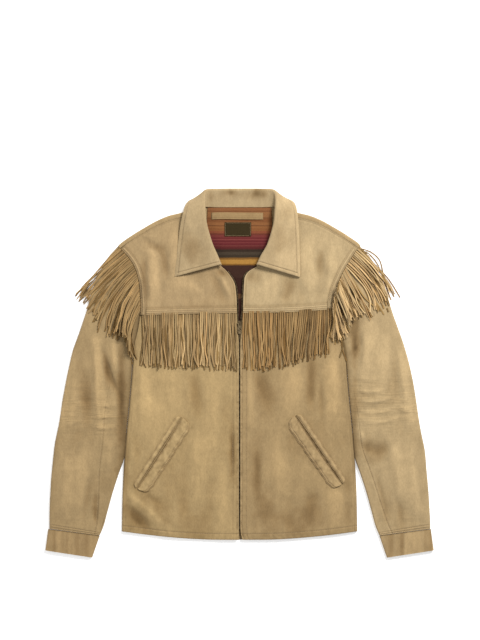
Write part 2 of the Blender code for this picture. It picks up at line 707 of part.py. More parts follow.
def pull_tab():
    """Pull tab on the slider's bridge, its end bar on the hinge line."""
    half = TAB_WIDTH / 2
    near, window, far = HINGE_Y + 0.6, HINGE_Y - 5.6, HINGE_Y - TAB_LENGTH
    outer = [(-half, near), (-half, far + 2), (-half + 2, far), (half - 2, far), (half, far + 2),
             (half, near)]
    hole = [(-1.9, near - 1.3), (-1.9, window), (1.9, window), (1.9, near - 1.3)]
    points, count, holes = [], len(outer), len(hole)
    slope = (HINGE_Z - TAB_REST_Z) / TAB_LENGTH
    for level in (-TAB_THICK / 2, TAB_THICK / 2):
        for x, y in outer + hole:
            drop = slope * max(HINGE_Y - y, 0)
            points.append((x, y, HINGE_Z + level - drop))
    total = count + holes
    top = [(0, 1, 7, 6), (1, 2, 3, 4, 8, 7), (4, 5, 9, 8), (5, 0, 6, 9)]
    faces = [tuple(i + total for i in face) for face in top]
    faces += [face[::-1] for face in top]
    faces += [(i, (i + 1) % count, (i + 1) % count + total, i + total) for i in range(count)]
    for i in range(holes):
        a, b = count + i, count + (i + 1) % holes
        faces.append((b, a, a + total, b + total))
    add_solid("zip_pull_tab", points, faces, "brass", (0, HINGE_Y, HINGE_Z))


def main():
    for old in list(bpy.data.objects):
        bpy.data.objects.remove(old, do_unlink=True)
    back_panel()
    lining()
    neck_trim()
    for side in "lr":
        front_panel(side)
        yoke(side)
        sleeve(side)
        cuff(side)
        front_fringe(side)
        shoulder_fringe(side)
    for row in POCKETS:
        pocket(*row)
    collar()
    zip_tapes()
    zip_chain()
    zip_slider()
    pull_tab()


main()
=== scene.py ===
import math

import bmesh
import bpy
import numpy as np
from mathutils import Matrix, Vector
from mathutils.bvhtree import BVHTree


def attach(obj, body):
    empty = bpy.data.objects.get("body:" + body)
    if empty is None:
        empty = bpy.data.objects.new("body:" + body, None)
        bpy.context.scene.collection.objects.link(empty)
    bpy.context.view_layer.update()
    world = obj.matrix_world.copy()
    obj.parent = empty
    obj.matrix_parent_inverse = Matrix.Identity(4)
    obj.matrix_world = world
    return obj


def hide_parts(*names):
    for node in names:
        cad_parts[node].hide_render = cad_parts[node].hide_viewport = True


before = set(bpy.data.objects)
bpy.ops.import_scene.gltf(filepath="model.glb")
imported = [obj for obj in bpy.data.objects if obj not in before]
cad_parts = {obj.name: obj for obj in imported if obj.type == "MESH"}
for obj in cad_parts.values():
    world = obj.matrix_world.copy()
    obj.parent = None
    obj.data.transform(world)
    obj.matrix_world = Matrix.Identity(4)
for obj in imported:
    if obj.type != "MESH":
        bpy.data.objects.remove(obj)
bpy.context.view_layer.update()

BODY = "jacket"
MM = 0.001

# ---------------------------------------------------------------- sizes, in millimetres

CLOTH = 1.6            # buckskin of the panels
TRIM = 1.1             # bands, welts and loop
SEAM = 0.3             # gap between sewn pieces
LIE = 7.0              # height of the front over the surface it lies on
EDGE = LIE / 2         # radius of a fold where front meets back
UNDER_LIFT = 4.0       # rise of the back where the collar's fall lies beneath it
BAND = 13.0            # band along the yoke's lower edge
ARM_BAND = 10.0        # band along the armhole
YOKE_OVERLAP = 17.0
SHOULDER_WRAP = 10.0
COLLAR_LEATHER = 1.2
COLLAR_GAP = 0.4
LINING_THICK = 1.2
STEP = 3.0             # spacing of the points of a visible panel
ROW_POINTS = (-2.4, -1.4, -0.7, 0, 0.7, 1.4, 2.4)            # points across a stitched row
TURN_POINTS = (0.25, 0.6, 1.2, 2.0, 3.2, 4.6, 6.0)           # points round the side's fold

# Panels before they are fitted between their edges, and rows of stitches from an edge
FRONT_WIDTH, FRONT_LENGTH = 238.0, 475.0
YOKE_WIDTH, YOKE_LENGTH = 230.0, 195.0
HEM_STITCH, SIDE_STITCH = 12.0, 7.0
PLACKET = (3.2, 12.0)
YOKE_FRONT_STITCH, SHOULDER_STITCH = 4.0, 3.5
EDGE_STITCH = 7.5                       # round the collar
CUFF_ROWS = (3.4, 9.0)                  # on the sleeve, above the cuff
ARMHOLE_FOOT = (44, 66)                 # y between which the side seam ends at the armhole
BACK_HALF, NECK_HALF, NECK_TOP = 253.0, 72.0, 344.9
WELT_WIDTH, LIP_WIDTH, POCKET_GAP = 26.0, 12.0, 0.4
SLEEVE_LENGTH, CUFF_LENGTH = 640.0, 45.5
HALF_GAP = 0.0005                       # half the gap of a sleeve seam, as a share of the width
STAND_POINTS, ROLL_POINTS = 12, 11      # points up the collar's stand and over its roll
STRAND_ROWS, STRAY_ROWS = 40, 60        # points along a strand of fringe
STRAND_CLEAR = 0.15                     # gap between a strand and what it lies on
ZIP_TOP, ZIP_BOTTOM = 96.0, -323.0
HINGE_Y, HINGE_Z = 106.0, 11.0
TAB_LENGTH, TAB_WIDTH, TAB_THICK = 24.0, 6.4, 1.1
TOOTH_PITCH = 2.1
FLOOR_HALF = 6.0                        # in metres

CREASE_RISE = 1.25      # factor on the heights in the table of creases
CREASE_PARTS = 8        # straight parts of each crease's curve
PATCH_STRENGTH = 1.15   # factor on the strengths in the table of patches
STRIPE_WOBBLE = 0.002   # in metres
CUT_EASE = 1.02         # a cut is a little larger than the widest line measured on it
LEAST_CUT = 0.0105      # smallest side of a sheet's cut, in metres
LEAST_SHARE = 0.31      # smallest share of its rectangle that a sheet's area is taken to fill

# By side: column in the tables, sign of x, mirroring, and seeds of the noise
COLUMN = {"l": 1, "r": 2}
SIGN = {"l": -1, "r": 1}
FLIP = {"l": np.array([-1, 1, 1]), "r": np.ones(3), "": np.ones(3)}
BODY_SEED = {"l": 3, "r": 8}
SLEEVE_SEED = {"l": 12, "r": 17}
LATTICE = np.random.default_rng(41).uniform(-1, 1, (256, 256))

# Filled as the pieces are made: sheets, and rows of stitches
SHEETS = []
STITCH_PATHS = {"l": [], "r": []}

# Half width of the body: y, left side, right side (hem, side seam, armhole)
OUTLINE = [
    (-352, 245.5, 245.5), (-328, 245, 245), (-250, 243.5, 243.5), (-180, 240, 240),
    (-120, 235, 235), (-60, 229, 229), (0, 224, 224), (32, 222, 222), (60, 218.5, 218),
    (82, 213, 210), (105, 208.5, 200), (132, 205, 193), (163, 206, 196), (197, 210, 208),
    (231, 223, 226), (266, 253, 251), (300, 290, 290),
]
# Front edge: y, left, right of the centre line (notch, zipped, open)
FRONT_EDGE = [
    (-352, 3.0, 9.0), (-344, 2.2, 6.0), (-332, 1.8, 3.0), (-316, 1.8, 1.8), (-290, 1.8, 1.8),
    (0, 1.8, 1.8), (50, 1.8, 1.8), (62, 1.9, 1.9), (78, 2.7, 2.7), (95, 4.0, 3.6),
    (131, 5.5, 7.0), (171, 7.5, 8.5), (188, 10.5, 9.5), (203, 19, 12), (213, 27, 20),
    (222, 37, 35), (240, 55.5, 54), (268, 69, 68), (305, 80, 80), (334, 84, 84), (360, 86, 86),
]
# Shoulder silhouette: distance from the centre, y
SHOULDER = [
    (0, 347), (60, 347), (90, 343), (118, 335), (150, 327), (175, 316), (198, 303),
    (221, 289), (240, 276), (254, 264),
]
# Lower edge of the yokes: distance from the centre, y on the left, y on the right
YOKE_EDGE = [(0, 126, 126), (110, 124, 128), (210, 121, 135)]
# Hem: distance from the centre, y
HEM = [(0, -345), (80, -344), (170, -337), (250, -327)]

# Sleeve folds, from shoulder to cuff seam: distance from the centre, y
SLEEVE_OUTER = [
    (253.8, 265), (276, 240), (294, 208), (309, 168), (321, 128), (334, 90), (353, 28),
    (366, -34), (375, -97), (386, -159), (392, -221), (396, -284), (396.5, -322),
]
SLEEVE_BESIDE_BODY = (60, 30, 0, -60, -120, -176)
SLEEVE_FREE = [(251, -209), (263, -246), (273.5, -284), (284, -321), (290.5, -336)]
CUFF_OUTER = [(397.5, -323), (403.5, -367)]
CUFF_INNER = [(290.5, -337), (306, -382)]
# Seam of the two-piece sleeve, as a share of the sleeve's width: length, left, right
SLEEVE_SEAM = [
    (0, 0.52, 0.72), (0.3, 0.51, 0.76), (0.5, 0.54, 0.80), (0.67, 0.64, 0.81),
    (0.82, 0.78, 0.80), (1, 0.90, 0.75),
]

# Tips of the shoulder fringe: share of the armhole, left x, left y, right x, right y
SHOULDER_TIPS = [
    (0, 338, 162, 318, 168), (0.15, 325, 148, 302, 146), (0.3, 300, 112, 279, 122),
    (0.45, 272, 85, 252, 120), (0.6, 250, 79, 232, 110), (0.75, 234, 70, 224, 84),
    (0.9, 227, 38, 204, 68), (1, 215, 25, 188, 76),
]
# Strands that stand clear of the shoulder fringe, by points along each. They aren't
# mirrored, so those of the left fringe lie at +X too
STRAYS = {
    "r": [[(253, 259), (274, 252), (292, 234), (301, 197), (312, 178)],
          [(254, 256), (272, 246), (287, 227), (295, 204), (306, 186)],
          [(206, 190), (199, 150), (196, 110), (187, 76)]],
    "l": [[(255, 254), (282, 226), (310, 196), (334, 158)],
          [(240, 236), (276, 190), (300, 150), (309, 128)],
          [(206, 170), (214, 110), (212, 60), (222, 26)],
          [(206, 150), (206, 100), (214, 60), (208, 34)]],
}
# Tips of the front fringe: distance from the centre, left y, right y
FRONT_TIPS = [(0, 5, 7), (40, 11, 9), (95, 13, 16), (132, 13, 25), (160, 14, 34), (205, 16, 48)]

# Collar from the left front end round the back to the right: seam at the neck,
# roll line, outer edge (x y z each) and the radius of the roll
COLLAR = [
    (-41, 223, 10.6, -37, 226, 15, -135, 201, 10.8, 3.3),
    (-51, 241, 9.4, -45, 245, 17, -133, 224, 11.0, 3.3),
    (-64, 269, 9.0, -57, 273, 20, -129, 262, 11.4, 3.3),
    (-75, 308, 10.4, -68, 312, 24, -123, 308, 13.0, 3.3),
    (-76, 334, 12.0, -71, 343, 24, -117, 336, 14.4, 3.4),
    (-74, 345, 11.6, -72, 360, 20, -110, 355, 9.0, 3.5),
    (-68, 346, 9.4, -72, 378.5, 12, -98, 362, 1.6, 3.6),
    (-58, 346, 7.8, -65, 383.6, 6.6, -85, 353, 0.0, 3.7),
    (-45, 345.5, 7.3, -46, 384.3, 4.4, -66, 331, 0.0, 3.7),
    (-23, 345.5, 7.2, -24, 384.6, 3.8, -34, 316, 0.0, 3.7),
    (0, 345.5, 7.2, 0, 384.6, 3.7, 0, 313, 0.0, 3.7),
    (23, 345.5, 7.2, 24, 384.6, 3.8, 34, 316, 0.0, 3.7),
    (45, 345.5, 7.3, 47, 384.3, 4.4, 66, 331, 0.0, 3.7),
    (58, 346, 7.8, 66, 383.6, 6.6, 86, 353, 0.0, 3.7),
    (69, 346, 9.4, 73, 378.5, 12, 100, 362, 1.6, 3.6),
    (75, 345, 11.6, 75, 360, 20, 114, 355, 9.0, 3.5),
    (77, 334, 12.0, 73, 341, 24, 120, 335, 14.4, 3.4),
    (76, 306, 10.4, 70, 310, 24, 123, 304, 13.0, 3.3),
    (65, 267, 9.0, 58, 270, 20, 125, 258, 11.4, 3.3),
    (50, 241, 9.4, 44, 245, 17, 126, 222, 11.0, 3.3),
    (39, 223, 10.6, 35, 226, 15, 126, 200, 10.8, 3.3),
]

# Pocket openings: top x y, bottom x y
POCKETS = {"l": (120, -92, 213, -238), "r": (117, -88, 213, -228)}

# Creases, listed: part, side, start x y, middle x y, end x y, half width,
# height (troughs are negative) and lean, from -1 to 1, which steepens one flank
CREASES = [
    ("body", "l", 181, 262, 178, 205, 176, 148, 12, 4.0, 0.3),
    ("body", "l", 197, 244, 195, 195, 193, 146, 6, -2.4, 0.0),
    ("body", "l", 199, 280, 178, 262, 155, 244, 8, -2.2, 0.0),
    ("body", "l", 158, 264, 156, 240, 151, 196, 8, -2.2, 0.0),
    ("body", "l", 132, 292, 134, 240, 128, 175, 15, 2.4, 0.0),
    ("body", "l", 108, 190, 96, 176, 74, 166, 12, 1.8, 0.3),
    ("body", "l", 46, 216, 36, 209, 25, 202, 6, -2.0, 0.0),
    ("body", "l", 40, 204, 26, 182, 15, 152, 7, 2.6, 0.5),
    ("body", "l", 56, 204, 42, 184, 33, 150, 8, -1.8, 0.0),
    ("body", "l", 206, 14, 196, -30, 186, -92, 17, 2.6, 0.3),
    ("body", "l", 224, 20, 216, -40, 214, -110, 8, -1.8, 0.0),
    ("body", "l", 150, 4, 142, -40, 120, -92, 18, 2.0, 0.2),
    ("body", "l", 96, 6, 92, -40, 84, -90, 11, -1.8, 0.0),
    ("body", "l", 54, 8, 52, -70, 58, -170, 17, 2.0, 0.3),
    ("body", "l", 16, -104, 15, -155, 15, -210, 6, -1.6, 0.0),
    ("body", "l", 92, -128, 84, -210, 96, -300, 18, 2.2, -0.3),
    ("body", "l", 34, -200, 38, -262, 34, -330, 12, 1.9, 0.3),
    ("body", "l", 136, -252, 132, -286, 140, -326, 13, 1.8, 0.2),
    ("body", "l", 236, -248, 200, -276, 150, -322, 11, 3.0, 0.4),
    ("body", "l", 240, -272, 214, -298, 184, -332, 9, -2.4, 0.0),
    ("body", "l", 212, -232, 190, -256, 160, -276, 8, -1.8, 0.0),
    ("body", "l", 232, -130, 226, -190, 232, -240, 10, 1.8, 0.2),
    ("body", "r", 189, 250, 186, 200, 184, 150, 10, 3.8, 0.3),
    ("body", "r", 172, 254, 164, 232, 166, 196, 8, -2.6, 0.0),
    ("body", "r", 142, 275, 140, 230, 146, 165, 14, 3.2, 0.0),
    ("body", "r", 112, 196, 104, 176, 92, 150, 10, -2.4, 0.0),
    ("body", "r", 76, 206, 70, 180, 62, 150, 9, 2.4, 0.2),
    ("body", "r", 96, 276, 102, 250, 112, 214, 9, -2.2, 0.0),
    ("body", "r", 26, 217, 20, 206, 17, 190, 6, -2.0, 0.0),
    ("body", "r", 60, 200, 50, 180, 40, 150, 12, 1.8, 0.3),
    ("body", "r", 194, 34, 197, -30, 190, -92, 13, 3.2, -0.2),
    ("body", "r", 214, 46, 213, -20, 222, -90, 8, -1.6, 0.0),
    ("body", "r", 150, 40, 148, -20, 146, -76, 10, -2.4, 0.0),
    ("body", "r", 170, -10, 167, -60, 172, -104, 6, -1.6, 0.0),
    ("body", "r", 112, 16, 108, -40, 98, -94, 15, 2.6, 0.0),
    ("body", "r", 34, 0, 52, -38, 70, -92, 13, -2.4, 0.3),
    ("body", "r", 20, 4, 22, -60, 26, -124, 8, 1.8, 0.0),
    ("body", "r", 38, -160, 36, -210, 38, -264, 9, -2.0, 0.0),
    ("body", "r", 74, -130, 84, -200, 82, -260, 16, 2.4, 0.2),
    ("body", "r", 104, -250, 98, -286, 104, -330, 10, -1.6, 0.0),
    ("body", "r", 152, -244, 142, -286, 146, -330, 11, -2.0, 0.0),
    ("body", "r", 192, -236, 188, -280, 196, -326, 14, 2.4, 0.3),
    ("body", "r", 230, -200, 220, -250, 226, -322, 11, -1.6, 0.0),
    ("sleeve", "l", 286, 54, 273, -4, 250, -44, 8, -3.4, 0.3),
    ("sleeve", "l", 301, 78, 297, 0, 291, -120, 10, 4.6, -0.3),
    ("sleeve", "l", 264, 68, 262, 34, 256, 0, 9, 3.4, 0.0),
    ("sleeve", "l", 247, 30, 244, -50, 246, -132, 9, -2.8, 0.0),
    ("sleeve", "l", 322, 0, 318, -50, 312, -104, 12, -2.4, 0.0),
    ("sleeve", "l", 344, 50, 350, -40, 358, -130, 13, 2.8, 0.3),
    ("sleeve", "l", 252, -62, 270, -70, 290, -68, 4, 1.8, 0.5),
    ("sleeve", "l", 256, -84, 276, -94, 304, -92, 4, 1.9, 0.5),
    ("sleeve", "l", 260, -110, 280, -117, 300, -113, 4, 1.6, 0.4),
    ("sleeve", "l", 330, -96, 346, -106, 366, -108, 4, 1.4, 0.3),
    ("sleeve", "l", 268, -136, 274, -170, 268, -206, 10, 2.2, 0.4),
    ("sleeve", "l", 318, -150, 330, -210, 338, -286, 14, 2.8, 0.2),
    ("sleeve", "l", 356, -170, 362, -230, 366, -300, 10, 2.0, -0.3),
    ("sleeve", "l", 298, -250, 300, -280, 298, -312, 5, -2.2, 0.0),
    ("sleeve", "l", 312, -220, 318, -260, 322, -306, 7, -1.6, 0.0),
    ("sleeve", "r", 246, 110, 243, 66, 238, 24, 8, -3.4, 0.3),
    ("sleeve", "r", 266, 92, 262, 40, 252, -20, 11, 3.0, 0.4),
    ("sleeve", "r", 300, 66, 300, 10, 290, -50, 13, 2.4, -0.3),
    ("sleeve", "r", 322, 70, 320, 20, 326, -30, 9, -1.6, 0.0),
    ("sleeve", "r", 336, 40, 344, -40, 354, -110, 14, 2.8, 0.3),
    ("sleeve", "r", 246, -10, 262, -18, 290, -12, 4, 1.4, 0.5),
    ("sleeve", "r", 246, -34, 270, -46, 300, -34, 4, 1.8, 0.5),
    ("sleeve", "r", 250, -56, 280, -66, 316, -50, 4, 1.9, 0.5),
    ("sleeve", "r", 254, -80, 286, -88, 324, -70, 4, 1.8, 0.4),
    ("sleeve", "r", 260, -100, 292, -108, 330, -92, 4, 1.5, 0.4),
    ("sleeve", "r", 322, -64, 344, -78, 362, -80, 4, 1.4, 0.3),
    ("sleeve", "r", 256, -150, 284, -168, 314, -150, 11, -2.8, 0.2),
    ("sleeve", "r", 310, -130, 328, -190, 338, -270, 15, 2.6, 0.3),
    ("sleeve", "r", 352, -140, 362, -210, 368, -300, 11, 2.2, -0.3),
    ("sleeve", "r", 282, -206, 296, -250, 306, -306, 6, -1.8, 0.0),
    ("sleeve", "r", 330, -262, 334, -290, 336, -316, 7, -1.4, 0.0),
    ("back", "l", 150, 200, 120, 100, 140, -20, 20, 1.2, 0.2),
    ("back", "r", 170, 180, 130, 60, 150, -80, 20, 1.2, 0.2),
    ("back", "l", 60, -60, 90, -180, 70, -320, 20, 1.2, 0.2),
    ("back", "r", 90, -90, 60, -200, 100, -320, 20, 1.2, 0.2),
    ("back", "r", 226, 40, 205, -40, 212, -140, 14, 1.2, 0.2),
    ("back", "l", 226, 30, 208, -50, 214, -160, 14, 1.2, 0.2),
]

# Stains and worn patches, and painted shade and highlight where folds sink and rise and
# beside the body: side, x, y, radius across, radius along, strength (dark is negative),
# applied softly with a ragged edge
PATCHES = [
    ("r", 57, -285, 18, 34, -0.26), ("r", 152, -290, 24, 30, -0.22),
    ("r", 104, -306, 26, 18, -0.12),
    ("r", 37, -215, 8, 54, -0.18), ("r", 52, -42, 18, 44, -0.15), ("r", 148, -16, 9, 56, -0.13),
    ("r", 110, -30, 18, 56, 0.08), ("r", 194, -26, 13, 74, 0.13), ("r", 74, -180, 22, 60, 0.06),
    ("r", 205, -262, 24, 56, 0.08), ("r", 20, -70, 6, 70, 0.09), ("r", 172, -70, 7, 40, -0.08),
    ("r", 60, 176, 30, 20, -0.05), ("r", 30, 200, 14, 14, -0.14), ("r", 168, 236, 10, 16, -0.12),
    ("r", 130, 236, 30, 40, 0.05), ("r", 126, -330, 70, 10, -0.08),
    ("l", 176, -62, 40, 58, 0.12), ("l", 92, -34, 16, 46, -0.10), ("l", 14, -160, 5, 46, -0.32),
    ("l", 206, -292, 34, 30, -0.20), ("l", 120, -306, 50, 22, -0.07),
    ("l", 124, -268, 100, 62, -0.09), ("l", 238, -190, 9, 90, -0.14),
    ("l", 40, -290, 14, 30, 0.05), ("l", 70, -230, 26, 50, -0.05), ("l", 150, 210, 12, 40, -0.08),
    ("l", 200, 190, 6, 50, -0.16), ("l", 180, 200, 9, 56, 0.12), ("l", 34, 208, 12, 8, -0.22),
    ("l", 110, 180, 40, 18, 0.07), ("l", 90, 210, 20, 14, -0.07), ("l", 176, 262, 26, 8, -0.10),
    # painted shade in the left sleeve's troughs and painted highlight on its ridges
    ("l", 318, -56, 13, 60, -0.13), ("l", 246, -48, 8, 92, -0.30), ("l", 297, -26, 6, 84, 0.16),
    ("l", 263, 34, 8, 28, 0.14), ("l", 346, 60, 16, 60, -0.10), ("l", 276, 4, 7, 40, -0.20),
    ("l", 388, -200, 10, 90, -0.08), ("l", 300, -290, 6, 26, -0.16),
    ("l", 340, -352, 60, 30, -0.05),
    # the first is painted shadow in the fold at the top of the right sleeve, beside the body
    ("r", 236, 96, 9, 52, -0.46), ("r", 288, -170, 24, 17, -0.21), ("r", 262, -146, 12, 28, -0.16),
    ("r", 256, -128, 5, 10, 0.24), ("r", 258, -60, 14, 50, -0.08), ("r", 312, 60, 36, 60, 0.06),
    ("r", 302, -290, 14, 34, -0.10), ("r", 340, -352, 26, 20, -0.10),
    ("r", 360, -352, 12, 20, 0.08), ("r", 240, -80, 6, 90, -0.22),
    # collar: painted shade in the stand's folds and painted highlight between them, with stains
    ("c", -103, 257, 15, 24, -0.24), ("c", -92, 300, 10, 26, 0.10), ("c", 47, 371, 14, 7, -0.26),
    ("c", -20, 376, 20, 6, -0.18), ("c", -60, 366, 6, 12, -0.18), ("c", 104, 240, 20, 24, 0.05),
    ("c", 84, 280, 10, 30, -0.05), ("c", 0, 372, 76, 13, -0.08),
    ("c", -17, 375, 6, 8, -0.24), ("c", 34, 375, 6, 9, -0.26), ("c", 2, 378, 9, 7, 0.10),
    ("c", -44, 378, 9, 8, 0.10), ("c", 60, 370, 7, 11, 0.10),
]

# Overall tone of each piece, red, green, blue: partly as it has faded, partly painted light and
# shade that sets one piece brighter than another
SHADES = {
    "yoke_l": (0.91, 0.92, 0.94), "yoke_r": (1.03, 1.10, 1.19),
    "front_l": (0.98, 0.99, 0.93), "front_r": (0.87, 0.87, 0.84),
    "sleeve_l": (0.88, 0.89, 0.88), "sleeve_r": (1.00, 1.05, 1.11),
    "cuff_l": (0.88, 0.86, 0.82), "cuff_r": (0.97, 0.98, 0.98),
    "collar": (1.12, 1.19, 1.30), "back": (0.94, 0.95, 0.94),
}
# Tone of each side's front fringe and shoulder fringe: partly their own colour, partly painted
# light and shade, the right front fringe darker and the right shoulder fringe lighter
FRINGE_TONES = {"l": np.array([0.91, 0.88, 0.77]), "r": np.array([0.71, 0.63, 0.48])}
SHOULDER_TONES = {"l": np.array([0.82, 0.76, 0.61]), "r": np.array([1.29, 1.28, 1.19])}
# Painted light and shade of the fringes' two layers: the lower layer, lying beneath, painted
# darker, the upper, on top, painted lighter
LAYER_LIGHT_AND_SHADE = (np.array([0.62, 0.58, 0.47]), np.array([1.18, 1.23, 1.37]))
BUCKSKIN = (0.375, 0.257, 0.126)
FRINGE = (0.36, 0.235, 0.110)
# Lining's stripes: y at which each starts, in metres, and its colour
STRIPES = [
    (0.090, (0.038, 0.016, 0.011)), (0.157, (0.09, 0.045, 0.020)),
    (0.167, (0.034, 0.014, 0.010)), (0.200, (0.042, 0.019, 0.013)),
    (0.226, (0.18, 0.085, 0.018)), (0.2285, (0.34, 0.175, 0.040)),
    (0.2375, (0.18, 0.085, 0.02)), (0.2415, (0.040, 0.028, 0.018)),
    (0.2480, (0.058, 0.042, 0.028)), (0.2535, (0.038, 0.024, 0.016)),
    (0.2585, (0.085, 0.020, 0.018)), (0.2625, (0.115, 0.022, 0.022)),
    (0.2655, (0.16, 0.050, 0.038)), (0.2670, (0.115, 0.020, 0.022)),
    (0.2715, (0.15, 0.032, 0.030)), (0.2735, (0.105, 0.018, 0.020)),
    (0.2775, (0.18, 0.044, 0.038)), (0.2800, (0.12, 0.022, 0.022)),
    (0.2840, (0.15, 0.034, 0.028)), (0.2885, (0.12, 0.032, 0.020)),
    (0.2915, (0.20, 0.060, 0.028)), (0.2965, (0.20, 0.078, 0.028)),
    (0.3005, (0.16, 0.058, 0.022)), (0.3020, (0.22, 0.090, 0.032)),
    (0.3065, (0.14, 0.055, 0.022)), (0.3085, (0.22, 0.092, 0.034)),
    (0.3145, (0.18, 0.070, 0.026)), (0.3225, (0.15, 0.062, 0.024)),
    (0.3245, (0.23, 0.100, 0.038)), (0.3365, (0.16, 0.064, 0.026)),
    (0.3385, (0.22, 0.092, 0.036)),
]
STRIPES_TOP = 0.346
LOOP_TONE = np.array([0.74, 0.70, 0.64])


# ---------------------------------------------------------------- curves and noise

def spline(keys, values, at):
    """Values at the places asked for, on a smooth curve through keyed rows."""
    keys = np.asarray(keys, float)
    values = np.asarray(values, float)
    slope = np.gradient(values, keys, axis=0)
    at = np.clip(np.asarray(at, float), keys[0], keys[-1])
    i = np.clip(np.searchsorted(keys, at) - 1, 0, len(keys) - 2)
    span = keys[i + 1] - keys[i]
    t = (at - keys[i]) / span
    if values.ndim > 1:
        t = t[..., None]
        span = span[..., None]
    return ((2 * t**3 - 3 * t**2 + 1) * values[i] + (t**3 - 2 * t**2 + t) * span * slope[i]
            + (3 * t**2 - 2 * t**3) * values[i + 1] + (t**3 - t**2) * span * slope[i + 1])


def column(table, at, number=1):
    """One column of a table, as a smooth function of its first column."""
    rows = np.array(table, float)
    return spline(rows[:, 0], rows[:, number], at)


def run_along(points):
    """Length along a path at each of its points."""
    steps = np.linalg.norm(np.diff(points, axis=0), axis=1)
    return np.concatenate([[0], np.cumsum(steps)])


def along(points, share):
    """Points at shares of the length of a smooth curve."""
    points = np.asarray(points, float)
    run = run_along(points)
    return spline(run / run[-1], points, share)


def directions(path):
    """Unit directions along a path and, turned left from it, across it."""
    step = np.gradient(path, axis=0)
    step /= np.linalg.norm(step, axis=1, keepdims=True)
    return step, np.stack([-step[:, 1], step[:, 0]], axis=1)


def ease(value, low, high):
    """0 below low, 1 above high, smooth between."""
    t = np.clip((np.asarray(value, float) - low) / (high - low), 0, 1)
    return t * t * (3 - 2 * t)


def window(value, start, full, fading, end):
    """0 before start, 1 from full to fading, 0 after end, smooth between."""
    return ease(value, start, full) * (1 - ease(value, fading, end))


def bell(distance, width):
    """1 on a line, falling smoothly to nothing over about twice the width."""
    return np.exp(-(distance / width) ** 2)


def outline(side, y):
    """Distance of the body's side from the centre line."""
    return column(OUTLINE, y, COLUMN[side])


def front_edge(side, y):
    """Distance of the front's zipped edge from the centre line."""
    return column(FRONT_EDGE, y, COLUMN[side])


def yoke_edge(side, x):
    """y of the yoke's lower edge."""
    return column(YOKE_EDGE, x, COLUMN[side])


def shoulder_line(x):
    """y of the shoulder seam, where the wrapped back ends."""
    return column(SHOULDER, x) - SHOULDER_WRAP


def noise(x, y, cell, seed=0):
    """Smooth noise between -1 and 1, with features of the given size."""
    x = np.asarray(x, float) / cell + seed * 17.31
    y = np.asarray(y, float) / cell + seed * 9.73
    ix, iy = np.floor(x).astype(int), np.floor(y).astype(int)
    fx, fy = x - ix, y - iy
    fx, fy = fx * fx * (3 - 2 * fx), fy * fy * (3 - 2 * fy)
    a, b = LATTICE[ix % 256, iy % 256], LATTICE[(ix + 1) % 256, iy % 256]
    c, d = LATTICE[ix % 256, (iy + 1) % 256], LATTICE[(ix + 1) % 256, (iy + 1) % 256]
    return (a * (1 - fx) + b * fx) * (1 - fy) + (c * (1 - fx) + d * fx) * fy


def line_noise(x, cell, seed=0):
    """Noise that changes along one direction only."""
    return noise(x, 0 * x, cell, seed)


def cloudy(x, y, cell, seed=0):
    """Noise of several sizes together."""
    return (noise(x, y, cell, seed) + 0.5 * noise(x, y, cell / 2.1, seed + 3)
            + 0.25 * noise(x, y, cell / 4.3, seed + 5)) / 1.5


# ---------------------------------------------------------------- heights of the cloth

def lift(x, y):
    """How far the collar's fall, lying beneath, raises the back near the neck."""
    return UNDER_LIFT * ease(y, 246, 272) * (1 - ease(np.abs(x), 101, 128))


def crease_height(part, side, x, y):
    """Soft uneven ridges and troughs of one part, from the table."""
    height = np.zeros(np.shape(x))
    for i, row in enumerate(CREASES):
        if row[:2] != (part, side):
            continue
        start, middle, end = (np.array(row[k:k + 2], float) for k in (2, 4, 6))
        half_width, rise, lean = row[8], CREASE_RISE * row[9], row[10]
        t = np.linspace(0, 1, CREASE_PARTS + 1)[:, None]
        bend = (1 - t) ** 2 * start + 2 * t * (1 - t) * middle + t**2 * end
        best = np.full(np.shape(x), 1e9)
        place = np.zeros(np.shape(x))
        signed = np.zeros(np.shape(x))
        for k in range(CREASE_PARTS):
            a, run = bend[k], bend[k + 1] - bend[k]
            near = np.clip(((x - a[0]) * run[0] + (y - a[1]) * run[1]) / run.dot(run), 0, 1)
            dx, dy = x - a[0] - near * run[0], y - a[1] - near * run[1]
            away = np.hypot(dx, dy)
            closer = away < best
            best = np.where(closer, away, best)
            place = np.where(closer, (k + near) / CREASE_PARTS, place)
            signed = np.where(closer, np.sign(dx * run[1] - dy * run[0]), signed)
        width = half_width * (1 + 0.25 * noise(x, y, 34, i)) * (1 - lean * signed)
        taper = np.sin(np.clip(0.06 + 0.88 * place, 0, 1) * math.pi) ** 0.8
        taper = taper * (1 + 0.35 * noise(place * 90, i * 40.0 + 0 * place, 22, i))
        height += rise * taper * bell(best, width)
    return height


def supple(x, y, seed):
    """Slight unevenness of soft leather that lies on other layers."""
    broad = 0.9 * noise(x, y, 74, seed) + 0.5 * noise(x, y, 31, seed + 1)
    fine = 1 - np.abs(noise(x, y, 17, seed + 2))
    return broad + 0.35 * fine**3 + 0.12 * noise(x, y, 7, seed + 4)


def groove(distance, depth=0.55, half_width=1.0):
    """Depth that a row of stitches pulls down, with the cloth puffed on both sides."""
    return 0.22 * bell(np.abs(distance) - 3.2, 1.8) - depth * bell(distance, half_width)


def pucker(run, distance, reach=9.0, seed=0):
    """Short ripples across a tight row of stitches, uneven along its run."""
    wave = np.sin(run / 2.9 + 1.4 * line_noise(run, 11, seed))
    strength = 0.5 + 0.5 * line_noise(run, 26, seed + 2)
    return 0.32 * wave * strength * bell(distance, reach)


# ---------------------------------------------------------------- tints

